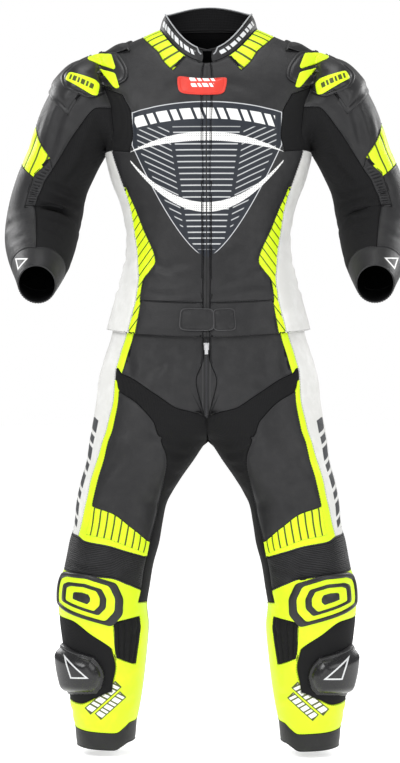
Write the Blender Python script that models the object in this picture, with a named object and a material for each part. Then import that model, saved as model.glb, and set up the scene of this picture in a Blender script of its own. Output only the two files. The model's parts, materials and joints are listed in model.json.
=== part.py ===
"""A two-piece leather race suit, filled out as if worn, with nobody in it.

Jacket and trousers are closed onto each other at the waist. The cloth is modelled as the maker cuts it:
three forms (body, arm, leg) are hollow tubes through hoops of named sizes, and on each form a net of seam
lines says where one panel ends and the next begins. A panel is a block of cells of that net, given a wall.
What is sewn or stuck on a panel is made from the same cells, moved out.

Metres, +Z up. The suit faces -Y and its own left is at +X. The origin is on the shoulder line between the
two sides of the neck, where the wearer's shoulders carry the suit.
"""

import math
from collections import namedtuple

import bmesh
import bpy
from mathutils import Matrix, Vector

# ---------------------------------------------------------------------------------------------- sizes
LEATHER = 0.0020  # leather with its lining
STRETCH = 0.0018  # knitted aramid stretch panels
ACCORDION = 0.0022  # the stretch leather sewn in ribs at the elbow
SEAT_LEATHER = 0.0022  # the heavier hide of the seat
SEAM_GAP = 0.0003  # between neighbouring panels
SEAT_GAP = 0.0004  # between a panel and what lies on it
TAPE_WALL = 0.0018
PATCH_WALL = 0.0012
TAB_WALL = 0.0030
SHIELD_WALL = 0.0030
CUP_WALL = 0.0060
CUP_SWELL = 0.0040
SLIDER_SEAT = 0.0020  # its base bridges the flat cells of the field
SLIDER_EDGE = 0.0060  # the knee puck's thickness at its rim
SLIDER_CROWN = 0.0170  # how much further its flat top stands off

BLACK, STRETCH_BLACK = (0.030, 0.030, 0.032, 1), (0.012, 0.012, 0.014, 1)
NEON, WHITE = (0.80, 0.95, 0.02, 1), (0.80, 0.80, 0.78, 1)
RED, HARD_BLACK, METAL = (0.75, 0.03, 0.02, 1), (0.02, 0.02, 0.02, 1), (0.6, 0.6, 0.62, 1)

# ---------------------------------------------------------------------------------------------- forms
# A hoop of the body or the leg. Its front, side and back may lie at unlike heights; half_width is from x_mid
# to the side, front and back are the depths from y_mid, and power rounds (2) or squares (3) its corners.
Hoop = namedtuple("Hoop", "level z_front z_side z_back x_mid y_mid half_width front back power")

# level is the way up the side seam from the hem, and then along the shoulder to the neck.
BODY_HOOPS = tuple(
    Hoop(*row)
    for row in (
        # level z_front z_side z_back  x_mid y_mid  half_w  front   back  power
        (0.000, -0.555, -0.539, -0.545, 0.0, 0.000, 0.188, 0.124, 0.130, 2.4),
        (0.059, -0.494, -0.480, -0.484, 0.0, 0.000, 0.172, 0.116, 0.120, 2.4),
        (0.110, -0.443, -0.429, -0.432, 0.0, 0.000, 0.158, 0.110, 0.111, 2.3),
        (0.160, -0.393, -0.379, -0.380, 0.0, 0.000, 0.151, 0.107, 0.106, 2.3),
        (0.220, -0.333, -0.319, -0.318, 0.0, 0.000, 0.159, 0.112, 0.110, 2.3),
        (0.280, -0.275, -0.259, -0.256, 0.0, 0.002, 0.180, 0.121, 0.120, 2.3),
        (0.340, -0.218, -0.199, -0.192, 0.0, 0.004, 0.195, 0.130, 0.130, 2.3),
        (0.400, -0.172, -0.139, -0.125, 0.0, 0.006, 0.203, 0.130, 0.131, 2.3),
        (0.460, -0.134, -0.085, -0.065, 0.0, 0.006, 0.207, 0.119, 0.120, 2.3),
        (0.500, -0.106, -0.042, -0.028, 0.0, 0.006, 0.200, 0.107, 0.103, 2.2),
        (0.540, -0.083, -0.018, -0.004, 0.0, 0.006, 0.165, 0.098, 0.086, 2.1),
        (0.580, -0.068, 0.000, 0.011, 0.0, 0.006, 0.126, 0.091, 0.072, 2.0),
        (0.620, -0.056, 0.016, 0.024, 0.0, 0.006, 0.090, 0.085, 0.062, 2.0),
    )
)

# level is the height below the origin. Above the fork a hoop is cut off by the middle plane x = 0.
FORK = 0.742
LEG_HOOPS = tuple(
    Hoop(row[0], -row[0], -row[0], -row[0], *row[1:])
    for row in (
        # level  x_mid  y_mid  half_w  front   back  power
        (0.500, 0.000, 0.000, 0.1715, 0.1120, 0.1165, 2.4),
        (0.545, 0.000, 0.000, 0.1770, 0.1140, 0.1200, 2.4),
        (0.596, 0.000, 0.000, 0.1930, 0.1160, 0.1280, 2.4),
        (0.633, 0.018, -0.002, 0.1846, 0.1160, 0.1310, 2.4),
        (0.670, 0.045, -0.005, 0.1610, 0.1150, 0.1300, 2.3),
        (0.707, 0.076, -0.009, 0.1360, 0.1130, 0.1250, 2.3),
        (0.727, 0.095, -0.012, 0.1200, 0.1110, 0.1190, 2.2),
        (FORK, 0.109, -0.015, 0.1090, 0.1090, 0.1130, 2.2),
        (0.781, 0.1255, -0.022, 0.0975, 0.1020, 0.1040, 2.2),
        (0.818, 0.1435, -0.030, 0.0895, 0.0960, 0.0970, 2.2),
        (0.855, 0.1575, -0.039, 0.0825, 0.0910, 0.0920, 2.2),
        (0.892, 0.1630, -0.048, 0.0800, 0.0880, 0.0880, 2.2),
        (0.929, 0.1700, -0.056, 0.0810, 0.0870, 0.0840, 2.2),
        (0.966, 0.1785, -0.063, 0.0795, 0.0880, 0.0790, 2.2),
        (1.003, 0.1870, -0.068, 0.0820, 0.0910, 0.0740, 2.2),
        (1.040, 0.1900, -0.070, 0.0800, 0.0920, 0.0720, 2.2),
        (1.077, 0.1870, -0.068, 0.0800, 0.0870, 0.0740, 2.2),
        (1.132, 0.1860, -0.062, 0.0745, 0.0770, 0.0770, 2.1),
        (1.188, 0.1860, -0.055, 0.0680, 0.0690, 0.0740, 2.1),
        (1.225, 0.1870, -0.050, 0.0630, 0.0630, 0.0670, 2.1),
        (1.262, 0.1870, -0.046, 0.0560, 0.0570, 0.0600, 2.0),
        (1.330, 0.1860, -0.042, 0.0510, 0.0530, 0.0550, 2.0),
    )
)

# A hoop of the arm stands square to the arm's own line. level is the way along the arm from the armhole,
# across is the half size from the outer to the inner side, and deep the half size from front to back.
ArmHoop = namedtuple("ArmHoop", "level x y z across deep")
ARM_HOOPS = tuple(
    ArmHoop(*row)
    for row in (
        # level    x       y       z     across  deep
        (0.000, 0.186, 0.003, -0.118, 0.080, 0.086),
        (0.040, 0.216, 0.003, -0.128, 0.078, 0.083),
        (0.080, 0.238, 0.005, -0.156, 0.075, 0.079),
        (0.120, 0.257, 0.008, -0.191, 0.070, 0.074),
        (0.160, 0.273, 0.012, -0.228, 0.066, 0.070),
        (0.200, 0.290, 0.016, -0.266, 0.066, 0.067),
        (0.240, 0.301, 0.017, -0.305, 0.068, 0.066),
        (0.280, 0.308, 0.008, -0.344, 0.068, 0.066),
        (0.320, 0.309, -0.018, -0.375, 0.066, 0.063),
        (0.360, 0.307, -0.053, -0.399, 0.060, 0.058),
        (0.400, 0.304, -0.090, -0.421, 0.052, 0.052),
        (0.440, 0.302, -0.126, -0.441, 0.043, 0.046),
        (0.480, 0.301, -0.163, -0.462, 0.034, 0.038),
    )
)

# The collar stands on the body's neckline hoop; its top leans in a little.
COLLAR_HOOPS = (
    Hoop(0.000, -0.0556, 0.0164, 0.0244, 0.0, 0.006, 0.0898, 0.0848, 0.0618, 2.0),
    Hoop(0.500, -0.0430, 0.0300, 0.0440, 0.0, 0.005, 0.0860, 0.0800, 0.0610, 2.0),
    Hoop(1.000, -0.0310, 0.0440, 0.0660, 0.0, 0.004, 0.0800, 0.0745, 0.0590, 2.0),
)


def row_at(table, level):
    """The table's row at any level, on smooth curves through its rows."""
    last = len(table) - 1
    k = 0
    while k < last - 1 and (table[k + 1].level - level) * (table[-1].level - table[0].level) < 0:
        k += 1
    before, low, high, after = (table[min(max(k + step, 0), last)] for step in (-1, 0, 1, 2))
    span = high.level - low.level
    t = (level - low.level) / span
    values = []
    for a, b, c, d in zip(before, low, high, after):
        slope_low = (c - a) * span / (high.level - before.level)
        slope_high = (d - b) * span / (after.level - low.level)
        values.append(
            b * (2 * t**3 - 3 * t**2 + 1)
            + slope_low * (t**3 - 2 * t**2 + t)
            + c * (3 * t**2 - 2 * t**3)
            + slope_high * (t**3 - t**2)
        )
    return type(low)(*values)


def round_corner(angle, power):
    """(sideways, forward) of a hoop of half size 1 at an angle: 0 is its front, 90 degrees its outer side."""
    s, c = math.sin(angle), math.cos(angle)
    size = (abs(s) ** power + abs(c) ** power) ** (1 / power)
    return s / size, c / size


def hoop_point(hoop, degrees):
    side, fore = round_corner(math.radians(degrees), hoop.power)
    end_z = hoop.z_front if fore > 0 else hoop.z_back
    return Vector(
        (
            hoop.x_mid + hoop.half_width * side,
            hoop.y_mid - fore * (hoop.front if fore > 0 else hoop.back),
            hoop.z_side + (end_z - hoop.z_side) * math.cos(math.radians(degrees)) ** 2,
        )
    )


def body_point(degrees, level):
    return hoop_point(row_at(BODY_HOOPS, level), degrees)


def collar_point(degrees, level):
    return hoop_point(row_at(COLLAR_HOOPS, level), degrees)


def leg_point(degrees, level):
    return hoop_point(row_at(LEG_HOOPS, level), degrees)


def middle_angle(level):
    """The angle at which a leg hoop meets the middle plane, or the inseam's below the fork."""
    hoop = row_at(LEG_HOOPS, min(level, FORK))
    share = min(abs(hoop.x_mid) / hoop.half_width, 0.99999)
    power = hoop.power
    tangent = (share**power / (1 - share**power)) ** (1 / power)
    return -90.0 if level >= FORK else -math.degrees(math.copysign(math.atan(tangent), hoop.x_mid))


def arm_point(degrees, level):
    """0 degrees is the outer side of the arm, 90 its front, 180 the side that faces the body."""
    step = 0.004
    here = row_at(ARM_HOOPS, level)
    behind, ahead = row_at(ARM_HOOPS, level - step), row_at(ARM_HOOPS, level + step)
    along = (Vector(ahead[1:4]) - Vector(behind[1:4])).normalized()
    outward = Vector((1, 0, 0)) - along * along.x
    outward.normalize()
    forward = along.cross(outward)
    turn = math.radians(degrees)
    return (
        Vector((here.x, here.y, here.z))
        + outward * here.across * math.cos(turn)
        + forward * here.deep * math.sin(turn)
    )


def outward_normal(point, degrees, level, turns=1):
    """The form's outward direction, from its own slopes; turns is -1 where the angle runs the other way."""
    around = point(degrees + 0.5, level) - point(degrees - 0.5, level)
    along = point(degrees, level + 0.001) - point(degrees, level - 0.001)
    return around.cross(along).normalized() * turns


# ---------------------------------------------------------------------------------------------- nets
def spread(keys, values, count):
    """Values known at some of count lines, filled in straight between them."""
    filled = []
    for index in range(count):
        k = max(i for i, key in enumerate(keys) if key <= index)
        if k == len(keys) - 1:
            filled.append(values[k])
            continue
        t = (index - keys[k]) / (keys[k + 1] - keys[k])
        filled.append(values[k] + (values[k + 1] - values[k]) * t)
    return filled


# Body net. Columns run from the zip to the spine; rows from the hem to the neckline.
BODY_COLUMNS = (
    "middle zip_edge patch chest wedge flank side_front side side_back back_flank blade back spine_side spine"
).split()
BODY_KEYS = (0, 2, 5, 7, 9, 13)  # the columns at which a row's level is given
BODY_ROWS = (
    # name          levels: middle patch flank side back_flank spine    angle of each column, degrees
    ("hem",         (0.000, 0.000, 0.000, 0.000, 0.000, 0.000),
     (0, 2.0, 16, 28, 41, 46, 68, 90, 112, 126, 140, 154, 167, 180)),
    ("tab_low",     (0.009, 0.009, 0.010, 0.010, 0.010, 0.010),
     (0, 2.0, 16, 28, 41, 46, 68, 90, 112, 126, 140, 154, 167, 180)),
    ("tab_high",    (0.049, 0.049, 0.050, 0.050, 0.050, 0.050),
     (0, 2.2, 17, 29, 41, 45, 68, 90, 111, 125, 139, 153, 167, 180)),
    ("band_top",    (0.060, 0.060, 0.059, 0.060, 0.060, 0.060),
     (0, 2.2, 17, 29, 42, 45, 68, 90, 110, 124, 138, 153, 166, 180)),
    ("wedge_low",   (0.096, 0.095, 0.093, 0.098, 0.100, 0.100),
     (0, 2.4, 17, 30, 43.5, 47, 69, 90, 109, 123, 137, 152, 166, 180)),
    ("wedge_tip",   (0.132, 0.131, 0.130, 0.140, 0.144, 0.144),
     (0, 2.4, 14, 25, 36, 52, 71, 90, 108, 121, 136, 151, 166, 180)),
    ("rib",         (0.194, 0.194, 0.194, 0.200, 0.200, 0.200),
     (0, 2.4, 16, 31, 48, 58, 75, 90, 106, 119, 134, 149, 165, 180)),
    ("wedge_top",   (0.262, 0.262, 0.262, 0.262, 0.262, 0.262),
     (0, 2.2, 16, 31, 55, 57.5, 74, 90, 105, 119, 134, 149, 165, 180)),
    ("armpit",      (0.330, 0.330, 0.329, 0.322, 0.332, 0.325),
     (0, 2.0, 15, 29, 44, 61, 76, 90, 102, 114, 132, 149, 165, 180)),
    ("arm_low",     (0.358, 0.363, 0.370, 0.374, 0.376, 0.368),
     (0, 2.0, 14, 27, 40, 55, 72, 90, 107, 123, 136, 150, 165, 180)),
    ("arm_mid",     (0.398, 0.405, 0.415, 0.420, 0.424, 0.410),
     (0, 2.0, 13, 26, 40, 55, 72, 90, 107, 123, 136, 150, 165, 180)),
    ("arm_high",    (0.436, 0.445, 0.458, 0.465, 0.468, 0.450),
     (0, 2.2, 12, 27, 45, 62, 76, 90, 102, 115, 131, 148, 165, 180)),
    ("tip",         (0.478, 0.480, 0.500, 0.503, 0.500, 0.498),
     (0, 2.4, 10, 27, 50, 77, 84, 90, 96, 102, 125, 146, 164, 180)),
    ("cup_in",      (0.504, 0.506, 0.545, 0.566, 0.545, 0.528),
     (0, 2.6, 13, 25, 42, 61, 77, 90, 100, 112, 127, 146, 164, 180)),
    ("patch_top",   (0.530, 0.531, 0.582, 0.585, 0.575, 0.556),
     (0, 3.0, 15, 23, 34, 49, 69, 90, 96, 103, 125, 146, 164, 180)),
    ("neckline",    (0.620, 0.620, 0.620, 0.620, 0.620, 0.620),
     (0, 3.6, 14, 25, 36, 50, 70, 90, 97, 105, 126, 147, 164, 180)),
)

# Leg net. Columns run from the middle plane or inseam round the front, the outer side and the back.
LEG_COLUMNS = (
    "middle fly_edge yoke inner_seam inner_front mid_front strip_in strip_out side side_back back_seam "
    "seat_out seat_mid seat_in inner_back middle_back"
).split()
LEG_KEYS = (0, 3, 5, 7, 9, 12, 15)
MIDDLE = None  # an angle that the middle plane sets
LEG_ROWS = (
    # name           levels: middle inner_seam mid_front strip_out side_back seat middle_back   angles
    ("waist",        (0.502, 0.502, 0.502, 0.502, 0.502, 0.502, 0.502),
     (MIDDLE, 2.2, 11, 20, 30, 38, 46, 52, 75, 98, 118, 134, 150, 165, 173, MIDDLE)),
    ("under_hem",    (0.553, 0.551, 0.548, 0.545, 0.543, 0.545, 0.548),
     (MIDDLE, 2.2, 11, 20, 30, 38, 45, 51, 75, 97, 118, 134, 150, 165, 173, MIDDLE)),
    ("yoke_mid",     (0.625, 0.614, 0.596, 0.581, 0.579, 0.600, 0.610),
     (MIDDLE, 1.5, 10, 19, 30, 39, 46, 52, 74, 97, 118, 134, 150, 165, 173, MIDDLE)),
    ("vee_top",      (0.704, 0.683, 0.630, 0.610, 0.609, 0.650, 0.675),
     (MIDDLE, -25, -14, -1, 20, 37, 46, 52, 74, 97, 118, 136, 155, 176, 190, MIDDLE)),
    ("vee_low",      (0.737, 0.735, 0.670, 0.632, 0.632, 0.690, 0.737),
     (MIDDLE, -52, -34, -12, 11, 31, 45, 50, 73, 97, 119, 140, 164, 194, 222, MIDDLE)),
    ("fork",         (FORK, 0.767, 0.745, 0.739, 0.738, 0.745, FORK),
     (MIDDLE, -68, -49, -27, -7, 13, 38, 45, 70, 96, 120, 146, 173, 206, 238, MIDDLE)),
    ("thigh_high",   (0.790, 0.809, 0.794, 0.788, 0.786, 0.790, 0.790),
     (MIDDLE, -74, -58, -42, -16, 8, 38, 48, 71, 96, 121, 148, 176, 208, 240, MIDDLE)),
    ("thigh_mid",    (0.850, 0.871, 0.837, 0.816, 0.814, 0.840, 0.850),
     (MIDDLE, -80, -70, -58, -24, 3, 36, 47, 71, 96, 122, 150, 178, 208, 240, MIDDLE)),
    ("stripes_top",  (0.905, 0.924, 0.872, 0.846, 0.850, 0.890, 0.905),
     (MIDDLE, -78, -66, -53, -22, 6, 35, 45, 70, 96, 122, 150, 178, 208, 240, MIDDLE)),
    ("stripes_low",  (0.945, 0.951, 0.929, 0.914, 0.908, 0.930, 0.945),
     (MIDDLE, -78, -66, -55, -23, 4, 38, 51, 73, 96, 122, 150, 178, 208, 240, MIDDLE)),
    ("band_low",     (1.000, 1.009, 0.986, 0.978, 0.972, 0.985, 1.000),
     (MIDDLE, -78, -67, -57, -33, -10, 24, 46, 73, 100, 124, 150, 178, 208, 240, MIDDLE)),
    ("shield_mid",   (1.035, 1.032, 1.029, 1.011, 1.006, 1.020, 1.035),
     (MIDDLE, -78, -66, -55, -31, -11, 21, 43, 74, 103, 126, 151, 178, 208, 240, MIDDLE)),
    ("shield_low",   (1.065, 1.057, 1.075, 1.043, 1.034, 1.055, 1.065),
     (MIDDLE, -78, -67, -56, -17, -10, 20, 41, 74, 104, 128, 152, 178, 208, 240, MIDDLE)),
    ("field_top",    (1.130, 1.144, 1.114, 1.063, 1.054, 1.100, 1.130),
     (MIDDLE, -78, -65, -51, -20, -13, 13, 41, 75, 105, 128, 152, 178, 208, 240, MIDDLE)),
    ("field_mid",    (1.175, 1.180, 1.148, 1.142, 1.138, 1.160, 1.175),
     (MIDDLE, -76, -62, -47, -33, -19, 13, 43, 75, 104, 128, 152, 178, 208, 240, MIDDLE)),
    ("field_low",    (1.222, 1.223, 1.194, 1.218, 1.212, 1.215, 1.222),
     (MIDDLE, -76, -63, -49, -32, -14, 12, 40, 70, 98, 128, 152, 178, 208, 240, MIDDLE)),
    ("ankle_top",    (1.250, 1.254, 1.272, 1.269, 1.262, 1.255, 1.250),
     (MIDDLE, -78, -67, -55, -41, -23, 5, 33, 66, 98, 126, 152, 178, 208, 240, MIDDLE)),
    ("ankle_end",    (1.288, 1.292, 1.304, 1.302, 1.298, 1.292, 1.288),
     (MIDDLE, -78, -66, -53, -38, -21, 4, 31, 64, 96, 124, 152, 178, 208, 240, MIDDLE)),
)

# Arm net. Its first row is the body's armhole, so its sixteen columns start from the armhole's sixteen nodes.
ARM_COLUMNS = (
    "top top_front stripe_front rib_front front front_in in_front in_mid inner in_back back_in back_seam "
    "back back_out top_back crown"
).split()
ARM_KEYS = (0, 4, 8, 12, 16)
ARM_ROWS = (
    # name         levels: top front inner back top      angles of the sixteen columns, and the first again
    ("cap",       (0.034, 0.040, 0.126, 0.046, 0.034),
     (4, 28, 52, 76, 99, 118, 139, 160, 180, 202, 225, 248, 272, 295, 319, 341, 364)),
    ("upper",     (0.066, 0.084, 0.138, 0.082, 0.066),
     (7, 31, 54, 76, 97, 117, 138, 159, 180, 202, 225, 249, 273, 297, 321, 344, 367)),
    ("stripe_top", (0.118, 0.172, 0.158, 0.126, 0.118),
     (10, 33, 54, 74, 86, 112, 135, 158, 180, 202, 226, 250, 274, 298, 322, 346, 370)),
    ("stripe_mid", (0.155, 0.188, 0.180, 0.158, 0.155),
     (8, 31, 50, 68, 84, 110, 134, 157, 180, 202, 226, 250, 274, 297, 321, 344, 368)),
    ("stripe_low", (0.190, 0.204, 0.206, 0.190, 0.190),
     (5, 29, 46, 61, 82, 108, 132, 156, 180, 202, 225, 249, 273, 296, 319, 342, 365)),
    ("elbow",     (0.236, 0.238, 0.234, 0.236, 0.236),
     (3, 27, 46, 63, 81, 106, 131, 156, 180, 202, 225, 248, 272, 295, 317, 340, 363)),
    ("rib_low",   (0.284, 0.276, 0.270, 0.282, 0.284),
     (2, 26, 47, 65, 82, 106, 131, 156, 180, 202, 225, 248, 271, 294, 316, 339, 362)),
    ("forearm_high", (0.326, 0.330, 0.318, 0.326, 0.326),
     (1, 25, 47, 67, 86, 110, 133, 157, 180, 202, 225, 248, 270, 293, 315, 338, 361)),
    ("forearm_low", (0.366, 0.382, 0.366, 0.368, 0.366),
     (0, 24, 46, 67, 87, 111, 134, 157, 180, 202, 225, 248, 270, 292, 315, 338, 360)),
    ("cuff_top",  (0.406, 0.430, 0.416, 0.412, 0.406),
     (0, 23, 45, 66, 87, 111, 134, 157, 180, 202, 225, 248, 270, 292, 315, 338, 360)),
    ("cuff_end",  (0.480, 0.480, 0.480, 0.480, 0.480),
     (0, 23, 45, 67, 88, 111, 134, 157, 180, 202, 225, 248, 270, 292, 315, 338, 360)),
)

# Shoulder cup: its columns from back to front, the body column its inner edge is on and its arm column.
CUP_COLUMNS = (
    ("back", None, 13),
    ("back_in", "back_flank", 14),
    ("back_top", "side_back", 15),
    ("top", "side", 0),
    ("front_top", "side_front", 1),
    ("front_in", "flank", 2),
    ("front", None, 3),
)

# Knee puck: level at the front of the leg, slope of the row over a quarter turn outwards, and its angles.
SLIDER_ROWS = (
    ("edge_high", 1.130, -0.030),
    ("top_high", 1.142, -0.030),
    ("middle", 1.160, -0.014),
    ("top_low", 1.180, 0.004),
    ("edge_low", 1.194, 0.012),
)
SLIDER_ANGLES = (
    (12, 22, 40, 58, 68),
    (2, 16, 40, 62, 76),
    (-3, 11, 38, 64, 79),
    (0, 13, 36, 60, 74),
    (9, 18, 35, 52, 62),
)

COLLAR_COLUMNS = 18
COLLAR_ROWS = 3
COLLAR_END = 4.5  # degrees from the middle to the collar's front end at its base
COLLAR_ROUNDING = 3.0  # how much further back, in degrees, its rounded top corner starts


class Net:
    """Nodes (point, outward normal) of a form's net, by column and row number."""

    def __init__(self, columns, rows):
        self.columns = {name: i for i, name in enumerate(columns)}
        self.rows = {name: j for j, name in enumerate(rows)}
        self.nodes = {}

    def place(self, i, j, point, degrees, level, turns=1):
        place, normal = point(degrees, level), outward_normal(point, degrees, level, turns)
        if abs(place.x) < 1e-5:
            place.x = 0.0
            normal = Vector((0, normal.y, normal.z)).normalized()
        self.nodes[i, j] = (place, normal)

    def block(self, first_column, last_column, first_row, last_row):
        """The cells between two seam columns and two seam rows."""
        low, high = (self.columns.get(c, c) for c in (first_column, last_column))
        bottom, top = (self.rows.get(r, r) for r in (first_row, last_row))
        return {(i, j) for i in range(low, high) for j in range(bottom, top)}


def body_net():
    net = Net(BODY_COLUMNS, [row[0] for row in BODY_ROWS])
    for j, (_, levels, angles) in enumerate(BODY_ROWS):
        for i, level in enumerate(spread(BODY_KEYS, levels, len(BODY_COLUMNS))):
            net.place(i, j, body_point, angles[i], level)
    return net


def leg_net():
    net = Net(LEG_COLUMNS, [row[0] for row in LEG_ROWS])
    last = len(LEG_COLUMNS) - 1
    for j, (_, levels, angles) in enumerate(LEG_ROWS):
        for i, level in enumerate(spread(LEG_KEYS, levels, len(LEG_COLUMNS))):
            angle = angles[i]
            if angle is MIDDLE:
                angle = middle_angle(level) if i < last else 180 - middle_angle(level)
            net.place(i, j, leg_point, angle, level, turns=-1)
    return net


def armhole_loop(net):
    """The body net's nodes round the armhole: from its top over the front, the armpit and the back."""
    column, row = net.columns, net.rows
    top = [(i, row["tip"]) for i in (7, 6)]
    front = [(column["flank"], j) for j in range(row["tip"], row["armpit"], -1)]
    low = [(i, row["armpit"]) for i in range(column["flank"], column["back_flank"])]
    back = [(column["back_flank"], j) for j in range(row["armpit"], row["tip"])]
    over = [(i, row["tip"]) for i in (9, 8)]
    return top + front + low + back + over


def arm_net(body):
    names = ["armhole"] + [row[0] for row in ARM_ROWS]
    net = Net(ARM_COLUMNS + ["top_again"], names)
    loop = armhole_loop(body)
    for j, (_, levels, angles) in enumerate(ARM_ROWS, start=1):
        for i, level in enumerate(spread(ARM_KEYS, levels, len(ARM_COLUMNS) + 1)):
            net.place(i, j, arm_point, angles[i], level)
    for i in range(len(ARM_COLUMNS) + 1):
        point = body.nodes[loop[i % len(loop)]][0]
        normal = arm_point(net_angle(i), 0.02) - arm_point(net_angle(i) + 180, 0.02)
        net.nodes[i, 0] = (point, normal.normalized())
    return net


def net_angle(i):
    return ARM_ROWS[0][2][i]


def cup_net(body, arm):
    """The shoulder cup lies over the armhole seam, so its net takes rows from both forms, back to front."""
    net = Net([name for name, _, _ in CUP_COLUMNS], ["inner", "armhole", "cap", "outer"])
    row = body.rows
    for i, (_, body_column, arm_column) in enumerate(CUP_COLUMNS):
        if body_column:
            column = body.columns[body_column]
            net.nodes[i, 0] = body.nodes[column, row["cup_in"]]
            sleeve_normal, body_normal = arm.nodes[arm_column, 0][1], body.nodes[column, row["tip"]][1]
        else:
            sleeve_normal = body_normal = arm.nodes[arm_column, 0][1]
        net.nodes[i, 1] = (arm.nodes[arm_column, 0][0], (sleeve_normal + body_normal).normalized())
        net.nodes[i, 2] = arm.nodes[arm_column, 1]
        net.nodes[i, 3] = arm.nodes[arm_column, 2]
    return net


def slider_net():
    """The puck's own net on the leg form: its edge, a bevelled shoulder and a flat top."""
    net = Net([str(i) for i in range(len(SLIDER_ANGLES[0]))], [row[0] for row in SLIDER_ROWS])
    for j, (_, level, slope) in enumerate(SLIDER_ROWS):
        for i, angle in enumerate(SLIDER_ANGLES[j]):
            net.place(i, j, leg_point, angle, level + slope * angle / 90, turns=-1)
    return net


def collar_net():
    """One strip from the front round the back to the front, its two front corners rounded off."""
    net = Net([str(i) for i in range(COLLAR_COLUMNS + 1)], [str(j) for j in range(COLLAR_ROWS + 1)])
    for j in range(COLLAR_ROWS + 1):
        height = j / COLLAR_ROWS
        start = COLLAR_END + COLLAR_ROUNDING * height**3 + COLLAR_ROUNDING * 0.5 * (1 - height) ** 4
        for i in range(COLLAR_COLUMNS + 1):
            share = i / COLLAR_COLUMNS
            net.place(i, j, collar_point, start + (360 - 2 * start) * share, height)
    return net


# ---------------------------------------------------------------------------------------------- solids
def material(name, colour, roughness, metallic=0.0):
    found = bpy.data.materials.get(name)
    if found:
        return found
    made = bpy.data.materials.new(name)
    made.use_nodes = True
    shader = made.node_tree.nodes["Principled BSDF"]
    shader.inputs["Base Color"].default_value = colour
    shader.inputs["Roughness"].default_value = roughness
    shader.inputs["Metallic"].default_value = metallic
    return made


def black_leather():
    return material("black_leather", BLACK, 0.5)


def black_stretch():
    return material("black_stretch", STRETCH_BLACK, 0.85)


def neon_leather():
    return material("neon_leather", NEON, 0.45)


def white_leather():
    return material("white_leather", WHITE, 0.45)


def hard_plastic():
    return material("hard_plastic", HARD_BLACK, 0.3)


def metal():
    return material("zip_metal", METAL, 0.3, 1.0)


def add_object(name, mesh_maker, finish, collection):
    mesh = bpy.data.meshes.new(name)
    mesh_maker.normal_update()
    mesh_maker.to_mesh(mesh)
    mesh_maker.free()
    obj = bpy.data.objects.new(name, mesh)
    obj.data.materials.append(finish)
    collection.objects.link(obj)
    return obj


def panel(name, net, cells, wall, finish, collection, lift=0.0, mirrored=False, both=False, crown=None, fold=0):
    """A block of net cells as one closed wall.

    The rim stands along the form's own normals, which the next panel shares, so the seam gap is even; a
    Solidify would turn each rim its own way. lift moves the whole piece out. crown(i, j) adds to the outer
    face alone. mirrored makes the right-hand piece, and both makes one piece across the middle plane.
    fold is the corner that each cell's crease starts from.
    """
    sides = (1, -1) if both else (-1 if mirrored else 1,)
    maker = bmesh.new()
    outer, thickness, found, rank = {}, {}, {}, {}
    for side in sides:
        for i, j in sorted(cells):
            corners = []
            around = ((i, j), (i + 1, j), (i + 1, j + 1), (i, j + 1))
            for node in around[fold:] + around[:fold]:
                point, normal = (Vector((side * v.x, v.y, v.z)) for v in net.nodes[node])
                key = tuple(round(c, 6) for c in point)
                if key not in found:
                    found[key] = maker.verts.new(point + normal * lift)
                    outer[found[key]] = normal
                    rank[found[key]] = (key[2], abs(key[0]), key[1])
                    thickness[found[key]] = wall + (crown(*node) if crown else 0.0)
                corners.append(found[key])
            order = ((0, 1, 2), (0, 2, 3)) if side == sides[0] else ((2, 1, 0), (3, 2, 0))
            for triangle in order:
                three = [corners[k] for k in triangle]
                if len(set(three)) == 3:
                    maker.faces.new(three)
    maker.normal_update()
    facing = sum(f.normal.dot(outer[f.verts[0]]) for f in maker.faces)
    if facing < 0:
        bmesh.ops.reverse_faces(maker, faces=maker.faces[:])
    draw_in(maker)
    if crown or lift:
        raise_face = {v: v.co + outer[v] * thickness[v] for v in outer}
        base = {v: v.co.copy() for v in outer}
    else:
        raise_face = {v: v.co.copy() for v in outer}
        base = {v: v.co - outer[v] * thickness[v] for v in outer}
    close_wall(maker, raise_face, base, rank)
    return add_object(name, maker, finish, collection)


def draw_in(maker):
    """Moves the open edge of a sheet in by half the seam gap."""
    moves = {}
    for edge in [e for e in maker.edges if e.is_boundary]:
        face = edge.link_faces[0]
        a, b = edge.verts
        inward = (face.calc_center_median() - (a.co + b.co) / 2)
        along = (b.co - a.co).normalized()
        inward = (inward - along * inward.dot(along)).normalized()
        for vert in (a, b):
            moves.setdefault(vert, []).append(inward)
    for vert, pulls in moves.items():
        total = sum(pulls, Vector())
        if total.length < 1e-6:
            continue
        total.normalize()
        reach = max(total.dot(pulls[0]), 0.45)
        vert.co += total * (SEAM_GAP / 2 / reach)


def close_wall(maker, outside, inside, rank):
    """Turns an open sheet into a closed wall between two layers of the same points.

    Each rim quad is split from its lower point outside to its higher point inside, so that the rims of two
    neighbours bend the same way.
    """
    rim = [e for e in maker.edges if e.is_boundary]
    rim_pairs = []
    for edge in rim:
        loop = edge.link_loops[0]
        rim_pairs.append((loop.vert, loop.link_loop_next.vert))
    below = {}
    for vert in list(outside):
        vert.co = outside[vert]
        below[vert] = maker.verts.new(inside[vert])
    for face in maker.faces[:]:
        maker.faces.new([below[v] for v in reversed(face.verts)])
    for a, b in rim_pairs:
        if rank[a] < rank[b]:
            maker.faces.new((b, a, below[b]))
            maker.faces.new((a, below[a], below[b]))
        else:
            maker.faces.new((b, a, below[a]))
            maker.faces.new((b, below[a], below[b]))


# ---------------------------------------------------------------------------------------------- jacket
def pair(name, *args, **kwargs):
    """The left piece and its mirrored twin."""
    panel(name + "_left", *args, **kwargs)
    panel(name + "_right", *args, mirrored=True, **kwargs)


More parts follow.
